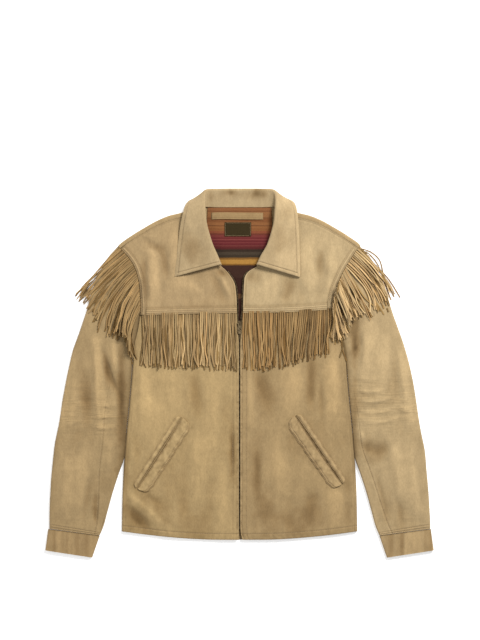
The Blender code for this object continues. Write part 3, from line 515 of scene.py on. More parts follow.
def tint_at(part, side, x, y, seed, relief=None):
    """Colour multiplier over a piece: its overall tone, stains and worn patches with painted
    shade and highlight from the table of patches, and mottling.

    relief is the height of its creases: troughs are given painted shade, and ridges a painted
    highlight.
    """
    base = np.array(SHADES.get(part, (1, 1, 1)))
    amount = np.zeros(np.shape(x))
    ragged = 1 + 0.30 * noise(x, y, 14, seed + 9) + 0.15 * noise(x, y, 5, seed + 6)
    for patch_side, px, py, rx, ry, strength in PATCHES:
        if patch_side == side:
            far = np.hypot((x - px) / rx, (y - py) / ry) * ragged
            amount += PATCH_STRENGTH * strength * bell(far, 1)
    amount += 0.060 * cloudy(x * 1.5, y * 0.5, 60, seed + 11)
    amount += 0.040 * cloudy(x * 1.3, y * 0.6, 21, seed + 12)
    # painted shade in the creases' troughs and painted highlight on their ridges
    if relief is not None:
        amount += np.clip(0.078 * relief, -0.32, 0.20)
    dark = np.minimum(amount, 0)
    return np.dstack([base[0] * (1 + amount), base[1] * (1 + amount) * (1 + 0.25 * dark),
                      base[2] * (1 + amount) * (1 + 0.60 * dark)])


def stained_and_shaded(tint, depth):
    """A tint darkened in warm brown by some depth, for stains and for painted shade, or made paler
    where negative, for wear and for painted highlights.
    """
    depth = np.asarray(depth)[..., None]
    return tint * (1 - depth * np.array([1.0, 1.08, 1.22]))


# ---------------------------------------------------------------- meshes

def new_piece(name, points, faces, material, tints=None, sharp=50, wrinkle=None):
    """An object from points in millimetres and quads or triangles, in arrays."""
    mesh = bpy.data.meshes.new(name)
    corners = np.concatenate([np.asarray(f, np.int32).ravel() for f in faces])
    sizes = np.concatenate([np.full(len(f), np.asarray(f).shape[1], np.int32) for f in faces])
    starts = np.concatenate([[0], np.cumsum(sizes)[:-1]]).astype(np.int32)
    mesh.vertices.add(len(points))
    mesh.vertices.foreach_set("co", (np.asarray(points, np.float32) * MM).ravel())
    mesh.loops.add(len(corners))
    mesh.loops.foreach_set("vertex_index", corners)
    mesh.polygons.add(len(sizes))
    mesh.polygons.foreach_set("loop_start", starts)
    mesh.update(calc_edges=True)
    mesh.validate()
    if tints is not None:
        layer = mesh.color_attributes.new("tint", "FLOAT_COLOR", "POINT")
        rgba = np.ones((len(points), 4), np.float32)
        rgba[:, :3] = tints
        layer.data.foreach_set("color", rgba.ravel())
    if wrinkle is not None:
        mesh.attributes.new("wrinkle", "FLOAT", "POINT").data.foreach_set(
            "value", np.asarray(wrinkle, np.float32))
    return finished(name, mesh, material, sharp)


def finished(name, mesh, material, sharp):
    """An object in the scene from a mesh, shaded smooth except at sharp angles."""
    piece = bpy.data.objects.new(name, mesh)
    bpy.context.scene.collection.objects.link(piece)
    mesh.shade_smooth()
    mesh.set_sharp_from_angle(angle=math.radians(sharp))
    mesh.materials.append(material)
    return piece


def normals(grid):
    """Unit normals of a grid of points, rows by columns."""
    normal = np.cross(np.gradient(grid, axis=1), np.gradient(grid, axis=0))
    return normal / np.maximum(np.linalg.norm(normal, axis=2, keepdims=True), 1e-9)


def upward(grid):
    """Normals of a lying grid, on its upper side."""
    normal = normals(grid)
    return normal if normal[..., 2].mean() >= 0 else -normal


def raised(grid, amount):
    """A lying grid moved out along its upward normals."""
    return grid + upward(grid) * amount


def rounded_edges(grid, amount=0.45):
    """A grid whose border points are drawn in, so that cut edges look soft."""
    softened = grid.copy()
    up = upward(grid)
    for border in (np.s_[0, :], np.s_[-1, :], np.s_[:, 0], np.s_[:, -1]):
        softened[border] = grid[border] - up[border] * amount
    return softened


def shell_faces(rows, cols, ring):
    """Quads of a closed wall between two grids, the second following the first."""
    back = rows * cols
    last = cols if ring else cols - 1
    r, c = np.meshgrid(np.arange(rows - 1), np.arange(last), indexing="ij")
    r, c = r.ravel(), c.ravel()
    a, b = r * cols + c, r * cols + (c + 1) % cols
    quads = [np.stack([a, b, b + cols, a + cols], 1),
             np.stack([a, a + cols, b + cols, b], 1) + back]
    c = np.arange(last)
    for row, flip in ((0, 1), (rows - 1, -1)):
        a, b = row * cols + c, row * cols + (c + 1) % cols
        quads.append(np.stack([a, a + back, b + back, b], 1)[:, ::flip])
    if not ring:
        r = np.arange(rows - 1)
        for col, flip in ((0, -1), (cols - 1, 1)):
            a, b = r * cols + col, (r + 1) * cols + col
            quads.append(np.stack([a, a + back, b + back, b], 1)[:, ::flip])
    return np.concatenate(quads)


def outward(points, *faces):
    """Faces turned to point out: the first ones tell which way they all face."""
    a, b, c, d = (points[faces[0][:, k]] for k in range(4))
    volume = (np.einsum("ij,ij->i", a, np.cross(b, c)) + np.einsum("ij,ij->i", a, np.cross(c, d)))
    return [f[:, ::-1] if volume.sum() < 0 else f for f in faces]


def shell(name, outer, inner, material, side="", tint=None, ring=False, wrinkle=None):
    """A closed thin shell between two grids, mirrored to -X for the left side."""
    points = np.concatenate([outer.reshape(-1, 3), inner.reshape(-1, 3)]) * FLIP[side]
    quads = outward(points, shell_faces(*outer.shape[:2], ring))
    tints = None
    if tint is not None:
        flat = tint.reshape(-1, 3)
        # the inner face takes a painted-shade copy of the outer face's tint, 0.9 as bright
        tints = np.concatenate([flat, flat * 0.9])
    if wrinkle is not None:
        wrinkle = np.concatenate([wrinkle.ravel(), 0 * wrinkle.ravel()])
    return new_piece(name, points, quads, material, tints, wrinkle=wrinkle)


def grid_area(grid):
    """Area of a grid of points in square metres."""
    a, b = grid[:-1, 1:] - grid[:-1, :-1], grid[1:, :-1] - grid[:-1, :-1]
    return float(np.linalg.norm(np.cross(a, b), axis=2).sum()) * MM * MM


def cut_size(grid):
    """Width and length of a piece's cut, laid flat, in metres."""
    sizes = [np.linalg.norm(np.diff(grid, axis=a), axis=2).sum(axis=a).max() for a in (1, 0)]
    return [float(size) * MM * CUT_EASE for size in sizes]


def carry(piece, node=None, body=BODY):
    """A piece rides on a body and may stand for a node, whose imported part is hidden."""
    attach(piece, body)
    if node:
        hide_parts(node)
    return piece


def cloth(name, outer, inner, material, side="", tint=None, ring=False,
          rests_on=("back",), held="laid", wrinkle=None):
    """A shell that stands for the node of its name, kept in the list of sheets with its cut and
    area.
    """
    piece = carry(shell(name, outer, inner, material, side, tint, ring, wrinkle), name)
    width, length = cut_size(outer)
    area = min(grid_area(outer), width * length)
    flat = (max(width, LEAST_CUT), max(length, LEAST_CUT))
    SHEETS.append((piece, flat, area, held, rests_on))


def declare_sheets():
    """Works out each kept sheet's area, and does nothing more with it."""
    for piece, flat, area, held, rests_on in SHEETS:
        area = max(area, LEAST_SHARE * flat[0] * flat[1])


def keep_stitches(side, *paths):
    """Rows of stitches on the right side's form, mirrored for the left."""
    STITCH_PATHS[side].extend(path * FLIP[side] for path in paths)


# ---------------------------------------------------------------- materials

def put(tree, socket, value):
    """Links a socket to an input, or sets the input's own value or colour."""
    if hasattr(value, "is_output"):
        tree.links.new(value, socket)
    elif isinstance(value, tuple):
        socket.default_value = (*value, 1)[:len(socket.default_value)]
    else:
        socket.default_value = value


def add(tree, kind, *inputs, **named):
    """A shader node with its first inputs in order, then named inputs or settings."""
    node = tree.nodes.new("ShaderNode" + kind)
    for key, value in named.items():
        if hasattr(node, key):
            setattr(node, key, value)
        else:
            put(tree, node.inputs[key.replace("_", " ")], value)
    for socket, value in zip(node.inputs, inputs):
        put(tree, socket, value)
    return node


def new_material(name, **values):
    """A material, its tree, its shader with some values set, and object coordinates."""
    material = bpy.data.materials.new(name)
    material.use_nodes = True
    tree = material.node_tree
    shader = tree.nodes["Principled BSDF"]
    for key, value in values.items():
        put(tree, shader.inputs[key.replace("_", " ")], value)
    return material, tree, shader, add(tree, "TexCoord").outputs["Object"]


def mix_colour(tree, factor, first, second, blend="MIX"):
    """A colour mix; each of its inputs is a socket or a value."""
    mixer = add(tree, "Mix", data_type="RGBA", blend_type=blend)
    for number, value in ((0, factor), (6, first), (7, second)):
        put(tree, mixer.inputs[number], value)
    return mixer.outputs[2]


def noise_node(tree, place, scale, detail=4.0, rough=0.55, distortion=0.0):
    """Noise over the given coordinates."""
    return add(tree, "TexNoise", Vector=place, Scale=scale, Detail=detail, Roughness=rough,
               Distortion=distortion).outputs["Fac"]


def spread(tree, value, low, high):
    """A noise value, stretched from low..high to 0..1."""
    return add(tree, "MapRange", interpolation_type="SMOOTHSTEP", Value=value, From_Min=low,
               From_Max=high).outputs["Result"]


def bump_stack(tree, shader, layers):
    """Bumps of several sizes: (height socket, strength, distance in mm)."""
    previous = None
    for height, strength, distance in layers:
        bump = add(tree, "Bump", Height=height, Strength=strength, Distance=distance * MM)
        if previous:
            put(tree, bump.inputs["Normal"], previous)
        previous = bump.outputs["Normal"]
    put(tree, shader.inputs["Normal"], previous)


def suede(name, colour, contrast=1.0):
    """Roughout buckskin: matt, napped, mottled, tinted by the piece's own attribute."""
    material, tree, shader, place = new_material(
        name, Roughness=0.92, Specular_IOR_Level=0.2, Sheen_Weight=0.18, Sheen_Roughness=0.55,
        Sheen_Tint=(1.0, 0.88, 0.70))
    tint = add(tree, "Attribute", attribute_name="tint").outputs["Color"]
    dark = tuple(c * (1 - 0.10 * contrast) for c in colour)
    light = tuple(min(1, c * (1 + 0.055 * contrast)) for c in colour)
    streaky = add(tree, "Mapping", Vector=place, Scale=(1.0, 0.42, 1.0)).outputs[0]
    mottle = spread(tree, noise_node(tree, streaky, 95, 6, 0.66), 0.30, 0.72)
    base = mix_colour(tree, mottle, dark, light)
    nap = spread(tree, noise_node(tree, streaky, 520, 4, 0.7, 0.4), 0.3, 0.72)
    shade = mix_colour(tree, nap, (0.86, 0.85, 0.83), (1.08, 1.08, 1.08))
    base = mix_colour(tree, 0.8, base, shade, "MULTIPLY")
    base = mix_colour(tree, 1.0, base, tint, "MULTIPLY")
    flatter = add(tree, "Mapping", Vector=place, Scale=(0.13, 1.0, 0.3),
                  Rotation=(0, 0, 0.16)).outputs[0]
    lines = spread(tree, noise_node(tree, flatter, 150, 2, 0.5, 1.2), 0.36, 0.68)
    wrinkle = add(tree, "Attribute", attribute_name="wrinkle").outputs["Fac"]
    masked = add(tree, "Math", lines, wrinkle, operation="MULTIPLY").outputs[0]
    rubbed = mix_colour(tree, 1.0, base, (1.06, 1.05, 1.03), "MULTIPLY")
    put(tree, shader.inputs["Base Color"], mix_colour(tree, masked, base, rubbed))
    fine = noise_node(tree, place, 900, 3, 0.7)
    coarse = noise_node(tree, place, 130, 4, 0.6, 0.6)
    bump_stack(tree, shader, [(masked, 0.7, 0.45), (coarse, 0.24, 0.6), (fine, 0.35, 0.3)])
    return material


def striped_lining():
    """Woven blanket cloth with stripes across the back, by height on the jacket."""
    material, tree, shader, place = new_material("striped_lining", Roughness=0.95,
                                                 Specular_IOR_Level=0.1)
    height = add(tree, "SeparateXYZ", place).outputs["Y"]
    moved = add(tree, "Math", noise_node(tree, place, 40, 2, 0.5), STRIPE_WOBBLE, height,
                operation="MULTIPLY_ADD").outputs[0]
    low = STRIPES[0][0]
    scaled = add(tree, "MapRange", Value=moved, From_Min=low, From_Max=STRIPES_TOP)
    ramp = add(tree, "ValToRGB", Fac=scaled.outputs["Result"])
    ramp.color_ramp.interpolation = "CONSTANT"
    stops = ramp.color_ramp.elements
    stops.remove(stops[1])
    for i, (y, colour) in enumerate(STRIPES):
        stop = stops.new((y - low) / (STRIPES_TOP - low)) if i else stops[0]
        stop.color = (*colour, 1)
    warp = add(tree, "TexWave", Vector=place, bands_direction="X", Scale=260,
               Distortion=1.2).outputs["Fac"]
    weft = add(tree, "TexWave", Vector=place, bands_direction="Y", Scale=220,
               Distortion=1.0).outputs["Fac"]
    fuzz = spread(tree, noise_node(tree, place, 700, 3, 0.7), 0.3, 0.7)
    threads = mix_colour(tree, warp, (0.78, 0.78, 0.78), (1.15, 1.15, 1.15))
    shaded = mix_colour(tree, 0.8, ramp.outputs["Color"], threads, "MULTIPLY")
    dusty = mix_colour(tree, fuzz, (0.82, 0.82, 0.82), (1.18, 1.16, 1.12))
    put(tree, shader.inputs["Base Color"], mix_colour(tree, 1.0, shaded, dusty, "MULTIPLY"))
    bump_stack(tree, shader, [(weft, 0.5, 0.4), (warp, 0.4, 0.3)])
    return material


def woven(name, colour, scale=500):
    """Plain tape or label cloth with a fine weave."""
    material, tree, shader, place = new_material(name, Roughness=0.85, Specular_IOR_Level=0.12)
    wave = add(tree, "TexWave", Vector=place, Scale=scale, Distortion=0.8).outputs["Fac"]
    fuzz = noise_node(tree, place, 400, 3, 0.6)
    dark = tuple(c * 0.65 for c in colour)
    put(tree, shader.inputs["Base Color"], mix_colour(tree, fuzz, dark, colour))
    bump_stack(tree, shader, [(wave, 0.5, 0.25)])
    return material


def aged_brass():
    """Dull brass, rubbed brighter in places."""
    material, tree, shader, place = new_material("aged_brass", Metallic=1.0)
    rub = spread(tree, noise_node(tree, place, 260, 4, 0.6), 0.35, 0.65)
    put(tree, shader.inputs["Base Color"],
        mix_colour(tree, rub, (0.12, 0.078, 0.042), (0.36, 0.27, 0.15)))
    rough = spread(tree, noise_node(tree, place, 500, 3, 0.6), 0.2, 0.8)
    span = add(tree, "MapRange", Value=rough, To_Min=0.28, To_Max=0.55)
    put(tree, shader.inputs["Roughness"], span.outputs["Result"])
    bump_stack(tree, shader, [(noise_node(tree, place, 800, 2, 0.5), 0.2, 0.1)])
    return material


def thread(name, colour):
    """Twisted sewing thread."""
    material, tree, shader, place = new_material(name, Roughness=0.7)
    fuzz = noise_node(tree, place, 900, 2, 0.6)
    dark = tuple(c * 0.7 for c in colour)
    put(tree, shader.inputs["Base Color"], mix_colour(tree, fuzz, dark, colour))
    bump_stack(tree, shader, [(fuzz, 0.3, 0.1)])
    return material


SUEDE = suede("buckskin_roughout", BUCKSKIN)
STRAND = suede("buckskin_strands", FRINGE, 0.8)
LINING = striped_lining()
TAPE = woven("zip_tape_cloth", (0.034, 0.018, 0.012))
LABEL = woven("label_cloth", (0.040, 0.027, 0.009), 900)
BRASS = aged_brass()
THREAD = thread("tan_thread", (0.42, 0.29, 0.15))


# ---------------------------------------------------------------- stitches

def stitch_rows(name, paths, pitch=3.6, length=2.5, radius=0.42, sink=0.05):
    """Short rounded stitches along paths of points in millimetres."""
    rng = np.random.default_rng(sum(map(ord, name)))
    sides, rings = 6, np.array([0.0, 0.22, 0.78, 1.0])
    swell = np.array([0.25, 1.0, 1.0, 0.25])
    turn = np.arange(sides) / sides * 2 * math.pi
    points, quads, caps = [], [], []
    total = 0
    for path in paths:
        run = run_along(path)
        for k in range(int(run[-1] // pitch)):
            start = (k + 0.2 + rng.uniform(-0.06, 0.06)) * pitch
            ends = [np.array([np.interp(start + f * length, run, path[:, i]) for i in range(3)])
                    for f in (0, 1)]
            forward = ends[1] - ends[0]
            size = np.linalg.norm(forward)
            if size < 0.4 * length:
                continue
            forward /= size
            sideways = np.cross(forward, (0, 0, 1))
            sideways /= max(np.linalg.norm(sideways), 1e-6)
            up = np.cross(sideways, forward)
            circle = np.cos(turn)[:, None] * sideways + np.sin(turn)[:, None] * up * 0.8
            rise = radius * (0.35 + 0.3 * np.sin(rings * math.pi))[:, None] - sink
            centre = ends[0] + forward * size * rings[:, None] + up * rise
            points.append((centre[:, None] + circle * radius * swell[:, None, None]).reshape(-1, 3))
            for r in range(3):
                for s in range(sides):
                    a, b = total + r * sides + s, total + r * sides + (s + 1) % sides
                    quads.append((a, b, b + sides, a + sides))
            caps.append(tuple(total + np.arange(sides)[::-1]))
            caps.append(tuple(total + 3 * sides + np.arange(sides)))
            total += 4 * sides
    faces = [np.array(quads)[:, ::-1], np.array(caps)[:, ::-1]]
    carry(new_piece(name, np.concatenate(points), faces, THREAD))


# ---------------------------------------------------------------- flat panels

def marks(total, step, dense=(), edge=0.9):
    """Places along a length: even steps, closer at both ends and round each seam row."""
    places = list(np.linspace(0, total, int(total / step) + 1)) + [edge, total - edge]
    for line in dense:
        line = line if line >= 0 else total + line
        places = [p for p in places if abs(p - line) > 2.6 or p in (0, total)]
        places += [line + d for d in ROW_POINTS]
    places = sorted(p for p in set(round(p, 3) for p in places) if 0 <= p <= total)
    kept = [places[0]]
    for p in places[1:]:
        if p - kept[-1] > 0.45 or p == total:
            kept.append(p)
    return np.array(kept)


def index_of(places, value):
    """Index of the place nearest to a value, which counts from the end when negative."""
    value = value if value >= 0 else places[-1] + value
    return int(np.argmin(np.abs(places - value)))


def stretched(place, nominal, actual, near):
    """Places kept exact near both ends, and stretched between them."""
    middle = near + (place - near) * (actual - near - near) / (nominal - near - near)
    return np.where(place < near, place,
                    np.where(place > nominal - near, actual - (nominal - place), middle))


def panel(side, low, high, across, up, near=30.0):
    """x and y between two edges, the body's side and its front, from places in mm."""
    u, v = np.meshgrid(across, up)
    x = 120 + 0 * u
    for _ in range(14):
        y = low(x) + stretched(v, up[-1], high(x) - low(x), near)
        outer = outline(side, y) - SEAM / 2
        x = outer - stretched(u, across[-1], outer - front_edge(side, y), near)
    return x, y


def turned_edge(side, x, y):
    """Height lost where the front turns down to the side seam, below the armhole."""
    radius = LIE - CLOTH - SEAM
    inside = np.clip(1 - (outline(side, y) - x) / radius, 0, 1)
    drop = radius * (1 - np.sqrt(np.clip(1 - inside**2, 0, 1)))
    return drop * (1 - ease(y, *ARMHOLE_FOOT))


def body_folds(side, x, y):
    """Creases of the body, dying out towards its sewn and zipped edges."""
    fade = ease(outline(side, y) - x, 4, 22) * ease(x - front_edge(side, y), 0, 16)
    return (crease_height("body", side, x, y) + supple(x, y, BODY_SEED[side])) * fade


def front_seams(side, x, y):
    """Grooves and puckers at the hem, the placket and the side seam."""
    from_row = y - column(HEM, x) - HEM_STITCH
    beside_zip = x - front_edge(side, y)
    strength, seed = (1.5, 31) if side == "r" else (0.9, 37)
    height = groove(from_row) + strength * pucker(x, from_row, 8, seed)
    for line in PLACKET:
        height = height + groove(beside_zip - line, 0.45)
    height = height + 0.8 * pucker(y, beside_zip - 9, 8, 43)
    side_line = outline(side, y) - x - SIDE_STITCH
    return height + groove(side_line, 0.35) * (1 - ease(y, 30, 60))


def pocket_frame(side):
    """Start, direction, direction towards the centre and length of a pocket opening."""
    x0, y0, x1, y1 = POCKETS[side]
    run = np.array([x1 - x0, y1 - y0], float)
    length = np.linalg.norm(run)
    run /= length
    return np.array([x0, y0], float), run, np.array([run[1], -run[0]]), length


def beside_pocket(side, x, y):
    """Place along the pocket, distance from it towards the centre, and its length."""
    start, run, inward, length = pocket_frame(side)
    dx, dy = x - start[0], y - start[1]
    return dx * run[0] + dy * run[1], dx * inward[0] + dy * inward[1], length


def pocket_shade_and_spots(side, x, y):
    """Painted shadow along the outer edges of the welt and the lip and round the pockets' ends,
    with dark spots beside the welt.
    """
    place, away, length = beside_pocket(side, x, y)
    within = window(place, -8, 0, length, length + 8)
    width = 1.7 + 0.9 * line_noise(place, 9, 5)
    depth = 0.10 * within * bell(away - WELT_WIDTH - 1.6, width)
    depth += 0.07 * within * bell(away + LIP_WIDTH + 1.6, width)
    spots = np.clip(noise(place, away, 6, 8), 0, 1)
    depth += 0.22 * within * spots * bell(away - WELT_WIDTH - 4, 4)
    for end in (-3.5, length + 3.5):
        depth += 0.08 * np.exp(-((away - 7) / 15) ** 4) * bell(place - end, 2.2)
    return depth


def front_height(side, x, y):
    """Height of the front's outer surface over the table, flatter where welts lie."""
    place, away, length = beside_pocket(side, x, y)
    held = window(place, -22, 0, length, length + 22) * (1 - ease(np.abs(away), 20, 44))
    folds = np.maximum(body_folds(side, x, y) * (1 - 0.6 * held), -2.3 + 0.7 * ease(y, 80, 110))
    return LIE + folds - turned_edge(side, x, y) + lift(x, y) + front_seams(side, x, y) * 0.9


def front_shade_and_marks(side, x, y):
    """Darkening on a front: ticks below the hem's row, a darker hem edge, painted shade in the rows
    of stitches and beside the sleeve, a painted highlight with dark spots along the zipped edge,
    and the pockets' painted shadow.
    """
    seed = ord(side)
    above_hem = y - column(HEM, x)
    beside = x - front_edge(side, y)
    ticks = 0.5 + 0.5 * np.sin(x / 0.62 + 2.0 * line_noise(x, 13, 4))
    ticks = ticks * (0.5 + 0.5 * line_noise(x, 40, 7 if side == "r" else 19))
    # dark ticks below the hem's row, and painted shade in that row of stitches
    depth = 0.16 * ticks * below_hem_row(x, y) + 0.16 * bell(above_hem - HEM_STITCH, 0.9)
    depth = depth + 0.12 * bell(above_hem, 2.0)
    rough = 0.6 + 0.8 * line_noise(y, 5, 31 + seed)
    # painted shade in the placket's rows of stitches
    for line, strength in zip(PLACKET, (0.46, 0.26)):
        depth = depth + strength * rough * bell(beside - line, 0.9)
    spots = np.clip(noise(y, beside, 4, 17 + seed), 0, 1)
    # a painted highlight along the zipped edge, with dark spots
    depth = depth - 0.30 * bell(beside - 1.0, 1.3) + 0.5 * spots * bell(beside - 1.0, 2.6)
    beside_sleeve = np.exp(-np.clip(outline(side, y) - x, 0, 60) / 3.4)
    shadow = beside_sleeve * (1 - ease(y, *ARMHOLE_FOOT)) * ease(y, -230, -200)
    return depth + 0.42 * shadow + pocket_shade_and_spots(side, x, y)


def below_hem_row(x, y):
    """1 below the hem's row of stitches, 0 above it."""
    return 1 - ease(y - column(HEM, x), HEM_STITCH - 2, HEM_STITCH + 1)


def make_front(side):
    """A front, from the hem up under the yoke."""
    across = marks(FRONT_WIDTH, STEP, (SIDE_STITCH, -PLACKET[0], -PLACKET[1]))
    across = np.unique(np.concatenate([across, TURN_POINTS]))
    up = marks(FRONT_LENGTH, STEP, (HEM_STITCH,))
    x, y = panel(side, lambda x: column(HEM, x), lambda x: yoke_edge(side, x) + YOKE_OVERLAP - 3,
                 across, up)
    outer = rounded_edges(np.dstack([x, y, front_height(side, x, y)]), 0.35)
    # the folds' height gives painted shade in their troughs and painted highlight on their ridges
    tint = tint_at(f"front_{side}", side, x, y, 21 + ord(side), body_folds(side, x, y))
    cloth(f"front_{side}", outer, raised(outer, -CLOTH), SUEDE, side,
          stained_and_shaded(tint, front_shade_and_marks(side, x, y)), rests_on=("back", "lining_back"),
          wrinkle=0.10 + 0.15 * below_hem_row(x, y))
    columns = [outer[:, index_of(across, -line)] for line in PLACKET]
    visible = columns[0][:, 1] < yoke_edge(side, 10) - 2
    keep_stitches(side, outer[index_of(up, HEM_STITCH)][6:-6],
                  *[c[6:][visible[6:]] for c in columns])
    return outer


def yoke_height(side, x, y):
    """Height of the yoke's outer surface: over the front's top edge, then on the body."""
    edge = yoke_edge(side, x)
    over = (CLOTH + SEAM) * (1 - ease(y, edge + YOKE_OVERLAP, edge + YOKE_OVERLAP + 22))
    folds = body_folds(side, x, y) * ease(y - edge, BAND + 1, BAND + 26)
    return LIE + over + np.maximum(folds, -1.5) + lift(x, y)


def make_yoke(side):
    """A yoke, from its band up to the shoulder seam."""
    across = marks(YOKE_WIDTH, STEP, (-YOKE_FRONT_STITCH,))
    up = marks(YOKE_LENGTH, STEP, (-SHOULDER_STITCH,))
    x, y = panel(side, lambda x: yoke_edge(side, x), lambda x: shoulder_line(x) - SEAM, across, up)
    below = shoulder_line(x) - y
    beside = x - front_edge(side, y)
    arm = outline(side, y) - x
    height = yoke_height(side, x, y) + groove(below - SEAM - SHOULDER_STITCH, 0.4)
    height = height + groove(beside - YOKE_FRONT_STITCH, 0.35) * ease(240 - y, 0, 20)
    outer = rounded_edges(np.dstack([x, y, height]), 0.35)
    # painted shadow beside the yoke's band and the armhole band and under the wrapped shoulder
    # edge, painted shade in the rows of stitches, a painted highlight along the zipped edge; the
    # folds' height gives painted shade and highlight in the tint
    depth = 0.20 * bell(y - yoke_edge(side, x) - BAND - 1.2, 1.2)
    depth = depth + 0.22 * bell(arm - ARM_BAND - 1.4, 1.3)
    depth = depth + 0.20 * bell(below, 1.4) + 0.12 * bell(below - 3.8, 0.8)
    depth = depth + (0.16 * bell(beside - YOKE_FRONT_STITCH, 0.9)
                     - 0.30 * bell(beside, 1.9)) * ease(232 - y, 0, 14)
    tint = tint_at(f"yoke_{side}", side, x, y, 51 + ord(side), body_folds(side, x, y))
    cloth(f"yoke_{side}", outer, raised(outer, -CLOTH), SUEDE, side, stained_and_shaded(tint, depth),
          rests_on=("back", f"front_{side}"))
    keep_stitches(side, outer[index_of(up, -SHOULDER_STITCH)][4:-4])


def lying_strip(side, name, path, aside, width, rows, under, height_at, thick=1.3,
                swell=0.5, gather=0.5, edge_shade=0.2, rounding=0.0, slit_shade=0.0):
    """A stitched band that follows a path on a panel; rows are its lines of stitches.

    path and aside give, for each place along it, a point and the unit direction of its
    width; under is the panel beneath, and height_at gives that panel's height.
    """
    across = marks(width, 1.1, rows, 0.45)
    run = run_along(path)
    spread_out = np.ones(len(run))
    if rounding:
        near_end = np.clip(np.minimum(run, run[-1] - run) / rounding, 0, 1)
        spread_out = 0.42 + 0.58 * np.sqrt(1 - (1 - near_end) ** 2)
        spread_out = spread_out * (1 + 0.07 * line_noise(run, 8, int(width)))
    plan = path[:, None] + aside[:, None] * (across[None] * spread_out[:, None])[..., None]
    x, y = plan[..., 0], plan[..., 1]
    distance = np.broadcast_to(across[None], x.shape)
    from_end = width - distance
    rise = thick + swell * np.sin(distance / width * math.pi)
    for row in rows:
        rise = rise + groove(distance - row, 0.7, 0.8)
        rise = rise + gather * pucker(run[:, None] + 0 * x, distance - row, 4, 61)
    if rounding:
        rise = rise * (1 - 0.72 * bell(from_end, 2.2))
    rise = np.maximum(rise, 0.3 if rounding else 0.45)
    base = height_at(side, x, y) + SEAM
    outer = rounded_edges(np.dstack([x, y, base + rise]), 0.35)
    # the swell and the grooves at the rows give painted shade and highlight
    tint = tint_at(under, side, x, y, 71, 1.5 * (rise - thick - swell * 0.6))
    # painted shade in the rows of stitches and along both edges, or a painted highlight there where
    # that amount is negative; more painted shade in a pocket's opening; slightly paler overall
    depth = 0.22 * sum(bell(distance - row, 0.9) for row in rows) - 0.05
    depth = depth + edge_shade * bell(from_end, 0.8)
    depth = depth + (edge_shade + slit_shade) * bell(distance, 0.8 + 0.7 * slit_shade)
    if rounding:
        middle = window(run, 14, 50, run[-1] - 22, run[-1] - 4)
        depth = depth * (0.45 + 0.55 * middle[:, None]) + 0.16 * noise(x, y, 5, 33) - 0.03
    depth = depth + 0.10 * np.clip(noise(x, y, 6, 15), 0, 1) * (gather > 0.6)
    cloth(name, outer, np.dstack([x, y, base]), SUEDE, side, stained_and_shaded(tint, depth),
          rests_on=(under,))
    keep_stitches(side, *[outer[3:-3, index_of(across, row)] for row in rows])


def make_bands(side):
    """The bands over the yoke's lower edge and along the armhole."""
    x = np.arange(outline(side, 132.0) - ARM_BAND - 1.4, front_edge(side, 132.0) + 0.3, -2.2)
    path = np.stack([x, yoke_edge(side, x)], axis=1)
    lying_strip(side, f"yoke_band_{side}", path, np.tile([0.0, 1.0], (len(path), 1)), BAND,
                (2.4, 6.4, 10.6), f"yoke_{side}", yoke_height)
    y = np.arange(float(yoke_edge(side, 205.0)) + 1.5, 257.0, 2.2)
    path = np.stack([outline(side, y) - SEAM, y], axis=1)
    lying_strip(side, f"armhole_band_{side}", path, directions(path)[1], ARM_BAND, (2.2, 7.6),
                f"yoke_{side}", yoke_height, swell=0.7)


def make_pocket(side):
    """A slanted pocket: a wide folded welt on the centre side and a narrow lip."""
    start, run, inward, length = pocket_frame(side)
    place = np.arange(-1.0, length + 1.1, 2.2)
    bow = 1.4 * np.sin(np.clip(place / length, 0, 1) * math.pi)
    for name, sign, width, rows, swell, bend, rounding in (
            ("welt", -1, WELT_WIDTH, (2.4, 20.0, 24.2), 1.5, 0.6, 16.0),
            ("lip", 1, LIP_WIDTH, (2.0, 10.4), 1.0, 0.2, 10.0)):
        aside = -inward * sign
        path = start + run * place[:, None] + aside * POCKET_GAP
        path = path - inward * (sign * bow * bend)[:, None]
        # a painted highlight along the outer edges, and painted shade in the opening
        lying_strip(side, f"pocket_{name}_{side}", path, np.tile(aside, (len(path), 1)), width,
                    rows, f"front_{side}", front_height, thick=TRIM, swell=swell,
                    gather=2.6, edge_shade=-0.10, rounding=rounding, slit_shade=0.84)


# ---------------------------------------------------------------- back, lining, neck

def shoulder_y(side, share, inset=0.0):
    """y of the shoulder's silhouette, or of a line inside it, at a share of the width."""
    y = 290.0
    for _ in range(20):
        y = float(column(SHOULDER, share * outline(side, y))) - inset
    return y


